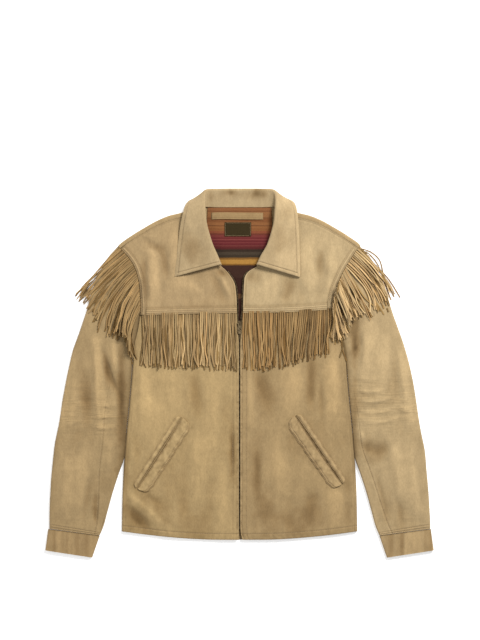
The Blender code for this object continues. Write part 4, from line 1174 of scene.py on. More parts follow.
def make_back():
    """Back, with its upper edge brought forward over both shoulders."""
    half = np.concatenate([np.arange(0, NECK_HALF, 6.0), [NECK_HALF, 92.0],
                           np.arange(97, 251, 6.0), [BACK_HALF]])
    shares = np.concatenate([-half[:0:-1], half]) / BACK_HALF
    flat_rows = np.linspace(0, 1, 110)
    turn_rows = np.linspace(0, 1, 17)[1:]
    rows = len(flat_rows) + len(turn_rows)
    outer = np.zeros((rows, len(shares), 3))
    inner = np.zeros_like(outer)
    for c, share in enumerate(shares):
        side = "l" if share < 0 else "r"
        place = abs(share) * BACK_HALF
        low = float(column(HEM, place))
        if place > NECK_HALF + 1:
            top = shoulder_y(side, abs(share))
            bend = top - EDGE
            end = shoulder_y(side, abs(share), SHOULDER_WRAP)
            run = turn_rows * (math.pi * EDGE + bend - end - SEAM / 2)
            angle = np.minimum(run / EDGE, math.pi)
            past = np.maximum(run - math.pi * EDGE, 0)
            turned = [(bend + r * np.sin(angle) - past, EDGE - r * np.cos(angle))
                      for r in (EDGE, EDGE - CLOTH)]
        else:
            top = NECK_TOP
            bend = top - 3
            turned = [(bend + 3 * turn_rows, 0 * turn_rows + z) for z in (0, CLOTH)]
        for grid, (y_turn, z_turn), base in ((outer, turned[0], 0), (inner, turned[1], CLOTH)):
            y_flat = low + (bend - low) * flat_rows
            y = np.concatenate([y_flat, y_turn])
            z = np.concatenate([np.full(len(flat_rows), base), z_turn])
            x = share * (outline(side, np.concatenate([y_flat, turned[0][0]])) - SEAM / 2)
            grid[:, c] = np.stack([x, y, z + lift(x, np.minimum(y, top))], axis=1)
    x, y = outer[..., 0], outer[..., 1]
    far = np.abs(x)
    ripple = np.where(x < 0, crease_height("back", "l", far, y), crease_height("back", "r", far, y))
    flat = np.arange(rows)[:, None] < len(flat_rows) - 6
    edge = ease(outline("r", y) - far, 6, 26) * ease(y + 340, 0, 14)
    dent = np.clip(ripple, 0, 1.5) * flat * edge
    outer[..., 2] += dent
    inner[..., 2] += dent * 0.6
    cloth("back", outer, inner, SUEDE, "", tint_at("back", "r", x, y, 91), rests_on=("floor",))
    wrap = outer[-2]
    for side, keep in (("l", wrap[:, 0] < -122), ("r", wrap[:, 0] > 120)):
        STITCH_PATHS[side].append(wrap[keep] + (0, 1.2, 0))


def make_lining():
    """The lining where it shows: at the neck and behind the open front."""
    u, v = np.meshgrid(np.linspace(-1, 1, 47), np.append(np.arange(96, 344.8, 3.0), 344.7))
    x = u * spline([96, 220, 300, 345], [34, 66, 68, 66], v)
    ripple = 0.35 * noise(x, v, 26, 5) + 0.6 * bell(np.abs(x) - 40, 9) * line_noise(v, 50, 3)
    low = CLOTH + SEAM + lift(x, v)
    high = low + np.maximum(ripple, -0.1) * window(u, -1, -0.8, 0.8, 1) + LINING_THICK
    cloth("lining_back", np.dstack([x, v, high]), np.dstack([x, v, low]), LINING)


def make_neck_trim():
    """Hanger loop with its bar tacks, and the bare label with its stitched rim."""
    base = CLOTH + SEAM + LINING_THICK + SEAM + 0.35
    u, v = np.meshgrid(np.linspace(-58, 49, 55), marks(14.0, 1.2, (1.8, 12.0), 0.4) + 320.3)
    middle = np.sin((u + 58) / 107 * math.pi)
    z = base + lift(u, v) + TRIM + 0.9 * middle**0.5 + 0.2 * noise(u, v, 12, 2)
    z = z + groove(v - 322.1, 0.35, 0.8) + groove(v - 332.3, 0.35, 0.8)
    v = v + 0.9 * line_noise(u, 40, 6)
    high = rounded_edges(np.dstack([u, v, z]), 0.4)
    tint = tint_at("loop", "r", u, v, 33) * LOOP_TONE
    cloth("hanger_loop", high, raised(high, -TRIM), SUEDE, "", tint, rests_on=("lining_back",))
    level = high[:, 2, 2].mean()
    for end in (-54.5, 45.5):
        STITCH_PATHS["r"].append(np.linspace((end, 321.5, level), (end, 333, level), 8))
    u, v = np.meshgrid(np.linspace(-31, 24, 29), np.linspace(285, 314, 16))
    z = base + lift(u, v) + 0.25 * noise(u, v, 18, 8)
    cloth("neck_label", rounded_edges(np.dstack([u, v, z + 0.7]), 0.25), np.dstack([u, v, z]),
          LABEL, rests_on=("lining_back",))
    level = base + UNDER_LIFT + 0.75
    corners = np.array([(-29.5, 286.4, level), (22.5, 286.4, level), (22.5, 312.6, level),
                        (-29.5, 312.6, level)])
    rim = [np.linspace(corners[i], corners[(i + 1) % 4], 20) for i in range(4)]
    stitch_rows("label_stitches", rim, 2.6, 1.7, 0.28)


# ---------------------------------------------------------------- sleeves and cuffs

def sleeve_plan(side, share, length):
    """x and y at shares of the sleeve's width and of its length from the armhole."""
    share, length = np.broadcast_arrays(np.asarray(share, float), np.asarray(length, float))
    y0 = 265 + (SLEEVE_BESIDE_BODY[0] - 265) * share
    start = np.stack([outline(side, y0) - 0.05, y0], axis=-1)
    beside = [(float(outline(side, y)) - 0.3, y) for y in SLEEVE_BESIDE_BODY]
    outer, inner = along(SLEEVE_OUTER, length), along(beside + SLEEVE_FREE, length)
    corner_a, corner_b = np.array(SLEEVE_OUTER[-1]), np.array(SLEEVE_FREE[-1])
    s, t = share[..., None], length[..., None]
    end = corner_a + (corner_b - corner_a) * s
    plain = (1 - t) * ((1 - s) * np.array(SLEEVE_OUTER[0]) + s * np.array(beside[0])) + t * end
    return (1 - t) * start + t * end + (1 - s) * outer + s * inner - plain


def sleeve_folds(side, x, y, seed):
    """Creases of a sleeve, with fine ones at the elbow and above the cuff."""
    elbow = bell(y + 70, 62) * (1 - 0.4 * ease(x, 330, 380))
    ridges = np.abs(noise(x * 0.35 + y * 0.12, y, 11.5, seed + 7))
    fine = 1.25 * elbow * (0.55 - ridges) + 0.5 * bell(y + 300, 34) * noise(x * 0.4, y, 9, seed + 8)
    return np.maximum(crease_height("sleeve", side, x, y) + supple(x, y, seed) + fine, -3.0)


def ring_grids(kinds, lengths, plan_at, folds_at):
    """Outer and inner grids through places round a flattened tube.

    A place is "low" or "high" with a share of the width, for the flat stretches, or
    "outer" or "inner" with an angle, for the folds at the two sides.
    """
    width = np.linalg.norm(plan_at(1.0, lengths) - plan_at(0.0, lengths), axis=1)
    outer = np.zeros((len(lengths), len(kinds), 3))
    inner = np.zeros_like(outer)
    for c, (kind, value) in enumerate(kinds):
        if kind in ("low", "high"):
            share = value(lengths) if callable(value) else value + 0 * lengths
            plan = plan_at(share, lengths)
            height, wall = 0 * lengths, CLOTH
            if kind == "high":
                fade = ease(np.minimum(share, 1 - share) * width, EDGE, EDGE + 16)
                height, wall = LIE + folds_at(plan[:, 0], plan[:, 1], fade, lengths), -CLOTH
            outer[:, c] = np.column_stack([plan, height])
            inner[:, c] = np.column_stack([plan, height + wall])
            continue
        for grid, radius in ((outer, EDGE), (inner, EDGE - CLOTH)):
            inset = (EDGE - radius * math.cos(value)) / width
            plan = plan_at(inset if kind == "outer" else 1 - inset, lengths)
            grid[:, c] = np.column_stack([plan, 0 * lengths + EDGE + radius * math.sin(value)])
    return outer, inner


def turn_places(kind, low, high):
    """Places round a fold at a side of the tube."""
    return [(kind, math.radians(a)) for a in np.linspace(low, high, 9)]


def make_sleeve(side):
    """Upper and under sleeve, which share the tube's two seams; returns their outer grids."""
    number, seed = COLUMN[side], SLEEVE_SEED[side]
    up = marks(SLEEVE_LENGTH, STEP, (5.0, -CUFF_ROWS[0], -CUFF_ROWS[1]))
    lengths = up / SLEEVE_LENGTH

    def seam(length):
        return column(SLEEVE_SEAM, length, number)

    def plan_at(share, length):
        plan = sleeve_plan(side, share, length).copy()
        wobble = 1.1 * noise(plan[..., 1], 0 * plan[..., 1] + number * 60, 38, seed)
        edge = 1 - ease(np.broadcast_to(share, plan.shape[:-1]), 0.0, 0.35)
        held = ease(np.broadcast_to(length, plan.shape[:-1]), 0.03, 0.12)
        plan[..., 0] += wobble * edge * held - 0.6 * edge * held
        return plan

    def folds_at(x, y, fade, length):
        along_seam = ease(length, 0.0, 0.03) * (1 - 0.6 * ease(length, 0.97, 1.0))
        height = sleeve_folds(side, x, y, seed) * fade * along_seam
        height = height + groove(length * SLEEVE_LENGTH - 5, 0.3)
        for row in CUFF_ROWS:
            from_cuff = (1 - length) * SLEEVE_LENGTH - row
            height = height + groove(from_cuff, 0.6) + 0.9 * pucker(x, from_cuff, 7, 23 + number)
        return height

    top = [("low", f) for f in (0.2 - HALF_GAP, 0.16, 0.12, 0.08, 0.05)]
    top += turn_places("outer", -90, 90)
    top += [("high", lambda t, f=f: np.maximum(seam(t) * f, 0.032))
            for f in np.linspace(0.03, 1, 40)[1:-1]]
    top += [("high", lambda t, d=d: seam(t) - d) for d in (0.012, 0.006, HALF_GAP)]
    under = [("high", lambda t, d=d: seam(t) + d) for d in (HALF_GAP, 0.006, 0.012)]
    under += [("high", lambda t, f=f: seam(t) + (0.985 - seam(t)) * f)
              for f in np.linspace(0.06, 1, 16)[:-1]]
    under += turn_places("inner", 90, -90)
    under += [("low", f) for f in np.linspace(0.95, 0.2 + HALF_GAP, 14)]

    grids = []
    for name, kinds, border in (("sleeve_top", top, -1), ("sleeve_under", under, 0)):
        outer, inner = ring_grids(kinds, lengths, plan_at, folds_at)
        away = np.linalg.norm(outer - outer[:, [border]], axis=2)
        lower = ease(-outer[..., 1], 10, 120)
        dip = groove(away - 0.3, 0.5, 1.2) * (outer[..., 2] > LIE - 3) * lower
        outer[..., 2] += dip
        inner[..., 2] += dip
        x, y = outer[..., 0], outer[..., 1]
        # relief gives painted shade in the creases and painted highlight on the ridges; depth is
        # painted shade along the seam between top and under sleeve, in the rows and at the seam
        # above the cuff, and painted shadow beside the body
        relief = crease_height("sleeve", side, x, y) + supple(x, y, seed)
        depth = 0.10 * bell(away, 1.2) * lower - 0.05 * bell(away - 3, 2) * lower
        from_cuff = (SLEEVE_LENGTH - up)[:, None]
        for row in CUFF_ROWS:
            depth = depth + 0.20 * bell(from_cuff - row, 0.9)
        beside_body = np.clip(x - outline(side, y), 0, 60) * ease(y, -235, -200)
        depth = depth + 0.22 * bell(from_cuff, 1.6)
        depth = depth + 0.60 * np.exp(-beside_body / 5.0) * ease(y, -225, -190)
        tint = stained_and_shaded(tint_at(f"sleeve_{side}", side, x, y, seed + 70, relief), depth)
        elbow = -80 if side == "l" else -62
        cloth(f"{name}_{side}", outer, inner, SUEDE, side, tint, rests_on=("floor",),
              held="folded",
              wrinkle=bell(y - elbow, 58) + 0.35 * bell(y + 300, 22) + 0.08)
        if name == "sleeve_top":
            keep_stitches(side, outer[len(up) // 2:-8, -3])
        for row in CUFF_ROWS:
            line = outer[index_of(up, -row)]
            keep_stitches(side, line[line[:, 2] > LIE - 2])
        grids.append(outer)
    return grids


def make_cuff(side):
    """A straight cuff, gathered at the seam and pressed flat at its mouth."""
    number = COLUMN[side]
    up = marks(CUFF_LENGTH, 2.4)

    def gathers(x):
        return line_noise(x, 8.5, 31 + number) + 0.6 * line_noise(x, 4.5, 37)

    def plan_at(share, length):
        share, length = (a[..., None] for a in np.broadcast_arrays(share, length))
        outer, inner = (np.array(ends[0]) + (np.array(ends[1]) - ends[0]) * length
                        for ends in (CUFF_OUTER, CUFF_INNER))
        return outer + (inner - outer) * share

    def folds_at(x, y, fade, length):
        place = length * CUFF_LENGTH
        height = 0.9 * noise(x, y, 34, 5 if side == "l" else 9) + 0.8 * np.sin(length * math.pi)
        height = height * fade + 0.4 + 0.8 * gathers(x) * np.exp(-place / 16) * fade
        return height + 0.5 * pucker(x, CUFF_LENGTH - place, 5, 14) * fade

    kinds = turn_places("outer", -90, 90) + [("high", f) for f in np.linspace(0.06, 0.94, 40)]
    kinds += turn_places("inner", 90, -90) + [("low", f) for f in np.linspace(0.94, 0.06, 20)]
    outer, inner = ring_grids(kinds, up / CUFF_LENGTH, plan_at, folds_at)
    x, y = outer[..., 0], outer[..., 1]
    # painted shadow under the sleeve's edge at the seam, paler at the mouth; the gathers give
    # painted shade and highlight
    depth = 0.26 * bell(up, 1.4) - 0.10 * bell(CUFF_LENGTH - up, 2.2)
    tint = tint_at(f"cuff_{side}", side, x, y, 41, 2.4 * gathers(x))
    cloth(f"cuff_{side}", outer, inner, SUEDE, side, stained_and_shaded(tint, depth[:, None] + 0 * x),
          ring=True, rests_on=("floor",), held="folded")


# ---------------------------------------------------------------- collar

def unit(vector):
    return vector / np.linalg.norm(vector)


def collar_section(row, fall_places):
    """Points of the collar's outer face, from the neck seam over the roll to its edge."""
    seam, roll, edge = (np.array(row[i:i + 3]) for i in (0, 3, 6))
    radius = row[9]
    down, out = unit(seam - roll), unit(edge - roll)
    within = unit(down + out)
    lying = 1 - float(ease(roll[2], 5, 15))
    turn = (out - down) * (1 - lying, 1 - lying, 1) - np.array([0, 0, 0.3]) * lying
    turn = unit(turn - within * np.dot(turn, within))
    centre = roll + within * radius
    reach = (math.pi - math.acos(float(np.clip(np.dot(down, out), -1, 1)))) / 2
    arc = [centre + radius * (turn * math.sin(a) - within * math.cos(a))
           for a in np.linspace(-reach, reach, ROLL_POINTS)]
    stand = [seam + (arc[0] - seam) * f for f in np.linspace(0, 0.92, STAND_POINTS)]
    size = np.linalg.norm(edge - arc[-1])
    places = np.clip(size - np.array(fall_places), 0.5, size)
    return np.array(stand + arc + [arc[-1] + (edge - arc[-1]) * (p / size) for p in places])


def make_collar():
    """Upper and under collar with a stitched turned edge."""
    rows = np.array(COLLAR, float)
    roll_run, edge_run = (np.diff(run_along(rows[:, k:k + 3])) for k in (3, 6))
    run = np.concatenate([[0], np.cumsum(np.maximum(roll_run, edge_run))])
    ends = marks(run[-1], 2.6, (EDGE_STITCH, -EDGE_STITCH))
    from_edge = np.unique(np.concatenate([
        [0, 0.7, 2.2, 3.6], EDGE_STITCH + np.array(ROW_POINTS), np.linspace(11.5, 62, 19)]))[::-1]
    sections = []
    for row in spline(np.arange(len(rows)), rows, np.interp(ends, run, np.arange(len(rows)))):
        size = np.linalg.norm(row[6:9] - row[3:6])
        scale = np.where(from_edge > 10, 10 + (from_edge - 10) * (size - 14) / (62 - 10), from_edge)
        sections.append(collar_section(row, scale))
    outer = np.array(sections)
    outer[..., 2] = np.maximum(outer[..., 2], 0)

    cols = outer.shape[1]
    fall_start = STAND_POINTS + ROLL_POINTS
    place = np.arange(cols)
    share = np.clip((place - fall_start + 1) / (cols - fall_start), 0, 1)
    x, y = outer[..., 0], outer[..., 1]
    front = 1 - ease(y[:, [cols - 1]], 326, 350)
    middle = np.sin(share * math.pi)[None]
    soft = (0.9 * noise(x, y, 40, 3) + 0.5 * noise(x, y, 17, 4)) * middle * front
    stand_middle = np.sin(np.clip(place / STAND_POINTS, 0, 1) * math.pi)[None]
    stand_soft = 0.7 * noise(x, y, 24, 6) * stand_middle * ease(y[:, [5]], 340, 352)
    edge_distance = np.concatenate([np.full(fall_start, 99.0), from_edge])[None]
    end_distance = np.minimum(ends, run[-1] - ends)[:, None]
    beyond_edge_row = edge_distance > EDGE_STITCH - 2
    beyond_end_row = end_distance > EDGE_STITCH - 2
    lines = groove(edge_distance - EDGE_STITCH, 0.8) * beyond_end_row
    lines = (lines + groove(end_distance - EDGE_STITCH, 0.8) * beyond_edge_row) * front
    outer[..., 2] += middle * 2.0 * front + soft + stand_soft + lines * (share > 0.02)
    out = normals(outer)
    if out[len(out) // 4, -4, 2] < 0:
        out = -out
    border = np.zeros(outer.shape[:2])
    border[:, -1] = border[[0, -1], :] = 0.45
    outer = outer - out * border[..., None]

    # painted shade on the left of the fall, along the roll, on the stand inside the neck and in the
    # rows of stitches, and a painted highlight along the turned edge; the soft folds give painted
    # shade and highlight in the tint
    left = 1 - 0.09 * (1 - ease(x, -60, -30)) * ease(share[None] + 0 * x, 0.02, 0.1)
    roll_shade = 1 - 0.13 * bell(place - 17, 4.0)[None]
    inside = np.where(place < STAND_POINTS, 0.84, 1.0)[None]
    edge_highlight = 1 + 0.08 * bell(edge_distance - 2, 1.8)
    near_end = bell(end_distance - EDGE_STITCH, 0.9) * beyond_edge_row
    near_edge = bell(edge_distance - EDGE_STITCH, 0.9) * beyond_end_row
    row_dark = 1 - 0.24 * np.maximum(near_edge, near_end) * front
    tint = tint_at("collar", "c", x, y, 66, 1.6 * (soft + stand_soft))
    tint = tint * (left * roll_shade * inside * edge_highlight * row_dark)[..., None]
    upper_back, under_face = COLLAR_LEATHER, COLLAR_LEATHER + COLLAR_GAP
    cloth("collar_upper", outer, outer - out * upper_back, SUEDE, "", tint,
          rests_on=("collar_under",), held="folded")
    # the under collar takes a painted-shade copy of the upper collar's tint, 0.92 as bright
    cloth("collar_under", outer - out * under_face, outer - out * (under_face + COLLAR_LEATHER),
          SUEDE, "", tint * 0.92, rests_on=("yoke_l", "yoke_r"), held="folded")
    edge_col = fall_start + int(np.argmin(np.abs(from_edge - EDGE_STITCH)))
    first, last = index_of(ends, EDGE_STITCH), index_of(ends, -EDGE_STITCH)
    row = outer[first:last + 1, edge_col]
    half = len(row) // 2
    for side, part in (("l", row[:half]), ("r", row[half:])):
        STITCH_PATHS[side].append(part[part[:, 2] > 8])
    for side, end in (("l", first), ("r", last)):
        STITCH_PATHS[side].append(outer[end, fall_start:edge_col + 1])


# ---------------------------------------------------------------- fringe

class Pile:
    """Height map over part of the jacket, on which strands are laid one by one."""

    def __init__(self, grids, low, high, cell=1.0, coarse=2):
        trees = [tree_of(grid) for grid in grids]
        self.low, self.cell = np.array(low, float), cell
        self.size = (np.ceil((np.array(high) - self.low) / cell)).astype(int) + 1
        self.height = np.zeros(self.size)
        for i in range(0, self.size[0], coarse):
            for j in range(0, self.size[1], coarse):
                x, y = self.low + np.array([i, j]) * cell
                hits = [tree.ray_cast(Vector((x, y, 60)), Vector((0, 0, -1)))[0] for tree in trees]
                top = max([0.0] + [hit.z for hit in hits if hit is not None])
                self.height[i:i + coarse, j:j + coarse] = top

    def cells(self, points):
        """Indices of the cells under some points."""
        index = np.round((points - self.low) / self.cell).astype(int)
        return tuple(np.clip(index[..., k], 0, self.size[k] - 1) for k in (0, 1))

    def lay(self, path, half_width, thick):
        """Heights at which a strand rests, and its mark left on the pile."""
        offsets = np.linspace(-half_width, half_width, 5)
        aside = directions(path)[1]
        cells = self.cells(path[:, None] + aside[:, None] * offsets[None, :, None])
        under = self.height[cells].max(axis=1)
        padded = np.pad(under, 3, mode="edge")
        smooth = np.maximum.reduce([padded[k:k + len(under)] for k in range(7)])
        padded = np.pad(smooth, 3, mode="edge")
        smooth = sum(padded[k:k + len(under)] for k in range(7)) / 7
        rest = np.maximum(smooth, under)
        self.height[cells] = np.maximum(self.height[cells], (rest + thick)[:, None])
        return rest + STRAND_CLEAR


def tree_of(grid):
    """Ray-casting tree of the upper side of a grid, as it lies (already mirrored)."""
    rows, cols = grid.shape[:2]
    r, c = np.meshgrid(np.arange(rows - 1), np.arange(cols - 1), indexing="ij")
    a = (r * cols + c).ravel()
    quads = np.stack([a, a + 1, a + 1 + cols, a + cols], 1)
    return BVHTree.FromPolygons([tuple(p) for p in grid.reshape(-1, 3)], quads.tolist())


def strand_points(path, rest, width, thick, twist):
    """Eight points round a flat strand at each place along it."""
    aside = directions(path)[1]
    corners = np.array([(-1, -0.45), (-0.82, -1), (0.82, -1), (1, -0.45),
                        (1, 0.45), (0.82, 1), (-0.82, 1), (-1, 0.45)])
    x = corners[None, :, 0] * width[:, None] / 2
    z = corners[None, :, 1] * thick / 2
    cos, sin = np.cos(twist)[:, None], np.sin(twist)[:, None]
    centre_z = rest + thick / 2 + np.abs(np.sin(twist)) * width / 2
    points = np.zeros((len(path), 8, 3))
    points[..., :2] = path[:, None] + aside[:, None] * (x * cos - z * sin)[..., None]
    points[..., 2] = centre_z[:, None] + x * sin + z * cos
    return points


def join_strands(name, strands, tints):
    """All the strands of one fringe as a single mesh, which stands for its node."""
    quads, caps = [], []
    total = 0
    ring = np.arange(8)
    for ringed in strands:
        rows = len(ringed)
        a = (np.arange(rows - 1)[:, None] * 8 + ring[None]).ravel() + total
        b = (np.arange(rows - 1)[:, None] * 8 + (ring[None] + 1) % 8).ravel() + total
        quads.append(np.stack([a, b, b + 8, a + 8], 1))
        caps += [total + ring[::-1], total + (rows - 1) * 8 + ring]
        total += rows * 8
    points = np.concatenate([ringed.reshape(-1, 3) for ringed in strands])
    faces = outward(points, np.concatenate(quads), np.array(caps))
    colours = np.concatenate([np.repeat(tint, 8, axis=0) for tint in tints])
    carry(new_piece(name, points, faces, STRAND, colours, 40), name)


def strand_tint(rng, count):
    """Colour along a strand: its own tone, painted shade at the root where it leaves the band, and
    paler at the cut tip.
    """
    tone = rng.normal(1.0, 0.15)
    warm = rng.normal(1.0, 0.03)
    t = np.linspace(0, 1, count)
    shade = tone * (0.82 + 0.18 * ease(t, 0, 0.25)) * (1 + 0.05 * np.sin(t * 9 + rng.uniform(0, 6)))
    shade = shade * (1 + 0.10 * ease(t, 0.93, 1.0))
    return np.stack([shade, shade * warm, shade * warm**2 * 0.98], axis=1)


def wander(rng, t, length, amount):
    """Sideways drift along a strand, none at its root."""
    drift = rng.normal(0, 0.5) * t**1.5
    for waves in (0.8, 1.6, 2.9):
        swing = rng.normal(0, 0.42 / waves)
        drift = drift + swing * np.sin(2 * math.pi * waves * t + rng.uniform(0, 6.3)) * t
    return drift * amount * length / 120


def curl(rng, t):
    """Twist along a strand, none at its root."""
    turn = rng.normal(0, 0.5)
    return turn * np.sin(math.pi * t * rng.uniform(0.6, 1.6)) * ease(t, 0.08, 0.3)


def make_front_fringe(side, base):
    """Two overlapping layers of cut strands below the yoke's band."""
    rng = np.random.default_rng(101 if side == "l" else 202)
    sign, number = SIGN[side], COLUMN[side]
    inner_x = float(front_edge(side, 110.0)) + 1.0
    outer_x = float(outline(side, 128.0)) - (3.0 if side == "l" else 2.0)
    low, high = sorted((sign * (inner_x - 8), sign * (outer_x + 26)))
    pile = Pile([base], (low, -6), (high, 150))
    t = np.linspace(0, 1, STRAND_ROWS)
    strands, tints = [], []
    for layer, spacing in ((0, 3.3), (1, 4.0)):
        roots = np.arange(inner_x + 1.6 + layer, outer_x, spacing)
        roots = roots + rng.uniform(-0.5, 0.5, len(roots))
        for root_x in rng.permutation(roots) if layer else roots:
            top = float(yoke_edge(side, root_x)) + 4.0 - 0.6 * layer
            tip = float(column(FRONT_TIPS, root_x, number)) + rng.normal(0, 3.0) + 3 * layer
            length = top - tip
            clump = 4.0 * noise(root_x, 30.0 * layer, 15, 5 + number) * t
            slant = 6.0 * noise(root_x, 7.0, 50, 9 + number) * t
            if side == "r":
                slant = slant - 10.0 * ease(root_x, 70, 190) * t**1.5
            x = root_x + clump + slant + wander(rng, t, length, 4.6)
            x = np.clip(x, inner_x + 0.6, outer_x + 4 + 8 * t)
            path = np.stack([sign * x, top - length * t], axis=1)
            width = rng.uniform(2.4, 3.4) * (1 - 0.12 * t)
            thick = rng.uniform(0.7, 1.0)
            rest = pile.lay(path, width.mean() / 2, thick * 0.85)
            strands.append(strand_points(path, rest, width, thick, curl(rng, t)))
            tone = 1 + 0.26 * noise(root_x, 0.0, 13, 25 + number)
            # each layer's painted light and shade
            tints.append(strand_tint(rng, len(t)) * LAYER_LIGHT_AND_SHADE[layer] * tone * FRINGE_TONES[side])
    join_strands(f"fringe_front_{side}", strands, tints)


def shoulder_bow(side, share):
    """Direction in which a strand of the shoulder fringe first leaves the armhole."""
    if side == "r" and share > 0.3:
        return np.array((0.42, -0.91) if share < 0.7 else (0.16, -0.99))
    return np.array((0.80, -0.60) if share < 0.5 else (0.62, -0.78))


def make_shoulder_fringe(side, bases):
    """Strands that fan from the armhole over the head of the sleeve."""
    rng = np.random.default_rng(303 if side == "l" else 404)
    sign, first_column = SIGN[side], 2 * COLUMN[side] - 1
    low, high = sorted((sign * 186.0, sign * 345.0))
    pile = Pile(bases, (low, 10), (high, 270))
    t = np.linspace(0, 1, STRAND_ROWS)
    grow = ease(t, 0.0, 0.1)
    strands, tints = [], []
    for layer, count in ((0, 56), (1, 50)):
        shares = (np.arange(count) + 0.5) / count
        shares = np.clip(shares + rng.uniform(-0.008, 0.008, count), 0.003, 0.997)
        for share in rng.permutation(shares) if layer else shares[::-1]:
            root_y = 261 - 131 * share
            root = np.array([float(outline(side, root_y)) + 0.6, root_y])
            jitter = float(np.clip(share + rng.normal(0, 0.025), 0, 1))
            tip = [float(column(SHOULDER_TIPS, jitter, first_column + k)) for k in (0, 1)]
            reach = tip - root
            size = np.linalg.norm(reach)
            tip = root + reach * (1 + rng.normal(0, 0.05) - 0.03 * layer)
            middle = root + shoulder_bow(side, share) * size * 0.42 + reach * 0.12
            middle = middle + rng.normal(0, 1.5, 2)
            s = t[:, None]
            path = (1 - s) ** 2 * root + 2 * s * (1 - s) * middle + s**2 * tip
            path = path + directions(path)[1] * wander(rng, t, size, 4.5)[:, None]
            path = path * (sign, 1)
            width = rng.uniform(2.3, 3.3) * (1 - 0.12 * t)
            thick = rng.uniform(0.7, 1.0)
            rest = pile.lay(path, width.mean() / 2, thick * 0.85)
            rest = rest * grow + (LIE + 0.3) * (1 - grow)
            fall = np.maximum.accumulate(rest[::-1])[::-1]
            rest = np.maximum(rest, fall - 2.5 * t)
            strands.append(strand_points(path, rest, width, thick, curl(rng, t)))
            # each layer's painted light and shade
            tints.append(strand_tint(rng, len(t)) * LAYER_LIGHT_AND_SHADE[layer] * SHOULDER_TONES[side])
    for knots in STRAYS[side]:
        path = spline(np.linspace(0, 1, len(knots)), knots, np.linspace(0, 1, STRAY_ROWS))
        rest = pile.lay(path, 1.2, 0.8)
        strands.append(strand_points(path, rest, np.full(STRAY_ROWS, 2.4), 0.9,
                                     np.zeros(STRAY_ROWS)))
        # the lower layer's painted shade
        tints.append(strand_tint(rng, STRAY_ROWS) * LAYER_LIGHT_AND_SHADE[0] * SHOULDER_TONES[side])
    join_strands(f"fringe_shoulder_{side}", strands, tints)


# ---------------------------------------------------------------- zip

def tooth_mesh(name, places, size):
    """Teeth as small tapered blocks, from the centre and direction of each."""
    signs = np.array([(x, y, z) for z in (-1, 1) for y in (-1, 1) for x in (-1, 1)], float)
    box = np.array([(0, 2, 3, 1), (4, 5, 7, 6), (0, 1, 5, 4), (2, 6, 7, 3), (0, 4, 6, 2),
                    (1, 3, 7, 5)])
    taper = np.where(signs[:, 2:] > 0, 0.78, 1.0)
    points = []
    for centre, step in places:
        step = unit(step)
        aside = np.array([step[1], -step[0], 0])
        points.append(centre + signs[:, :1] * aside * size[0] / 2 * taper
                      + signs[:, 1:2] * step * size[1] / 2 * taper
                      + signs[:, 2:] * np.array([0, 0, size[2] / 2]))
    points = np.concatenate(points)
    faces = (np.arange(len(places))[:, None, None] * 8 + box[None]).reshape(-1, 4)
    carry(new_piece(name, points, outward(points, faces), BRASS, None, 30), name)


def make_zip():
    """Tapes, separate teeth, bottom stop and slider."""
    y_chain = np.arange(ZIP_BOTTOM + 7.0, ZIP_TOP - 0.5, TOOTH_PITCH / 2)
    places = [(np.array([0.75 if i % 2 else -0.75, y, 4.05]), np.array([0.0, 1.0, 0.0]))
              for i, y in enumerate(y_chain)]
    tooth_mesh("zip_chain", places, (3.1, 0.85, 2.0))
    for side in "lr":
        y = np.concatenate([np.linspace(ZIP_BOTTOM, ZIP_TOP, 60), np.linspace(99, 214, 56)])
        edge = front_edge(side, y)
        tip = np.where(y > ZIP_TOP + 1, edge - 3.0, 2.9)
        x = tip[:, None] + (edge + 15 - tip)[:, None] * np.linspace(0, 1, 5)
        grid = np.dstack([x, y[:, None] + 0 * x, 4.5 + 0 * x])
        cloth(f"zip_tape_{side}", grid, grid - (0, 0, 0.9), TAPE, side,
              rests_on=("lining_back",))
        y = np.arange(113.0, 213.0, TOOTH_PITCH)
        path = np.stack([SIGN[side] * (front_edge(side, y) - 2.4), y, np.full(len(y), 5.9)], axis=1)
        steps = np.gradient(path, axis=0) * (1, 1, 0)
        tooth_mesh(f"zip_teeth_{side}", list(zip(path, steps)), (3.0, 1.1, 1.9))
    stop = bevelled_prism("zip_bottom_stop", [(-2.5, ZIP_BOTTOM), (2.5, ZIP_BOTTOM),
                          (2.5, ZIP_BOTTOM + 5.6), (-2.5, ZIP_BOTTOM + 5.6)], 2.8, 5.2, "z", 0.4)
    carry(stop, "zip_bottom_stop")
    make_slider()


def bevelled_prism(name, loop, low, high, axis, bevel):
    """A prism of an outline along X or Z, with bevelled edges."""
    points = [(level, a, b) if axis == "x" else (a, b, level) for level in (low, high)
              for a, b in loop]
    count = len(loop)
    mesh = bpy.data.meshes.new(name)
    faces = [tuple(range(count))[::-1], tuple(range(count, 2 * count))]
    faces += [(i, (i + 1) % count, (i + 1) % count + count, i + count) for i in range(count)]
    mesh.from_pydata([tuple(c * MM for c in p) for p in points], [], faces)
    bm = bmesh.new()
    bm.from_mesh(mesh)
    bmesh.ops.recalc_face_normals(bm, faces=bm.faces)
    bmesh.ops.bevel(bm, geom=list(bm.edges), offset=bevel * MM, segments=2, affect="EDGES",
                    clamp_overlap=True)
    bm.to_mesh(mesh)
    bm.free()
    return finished(name, mesh, BRASS, 40)


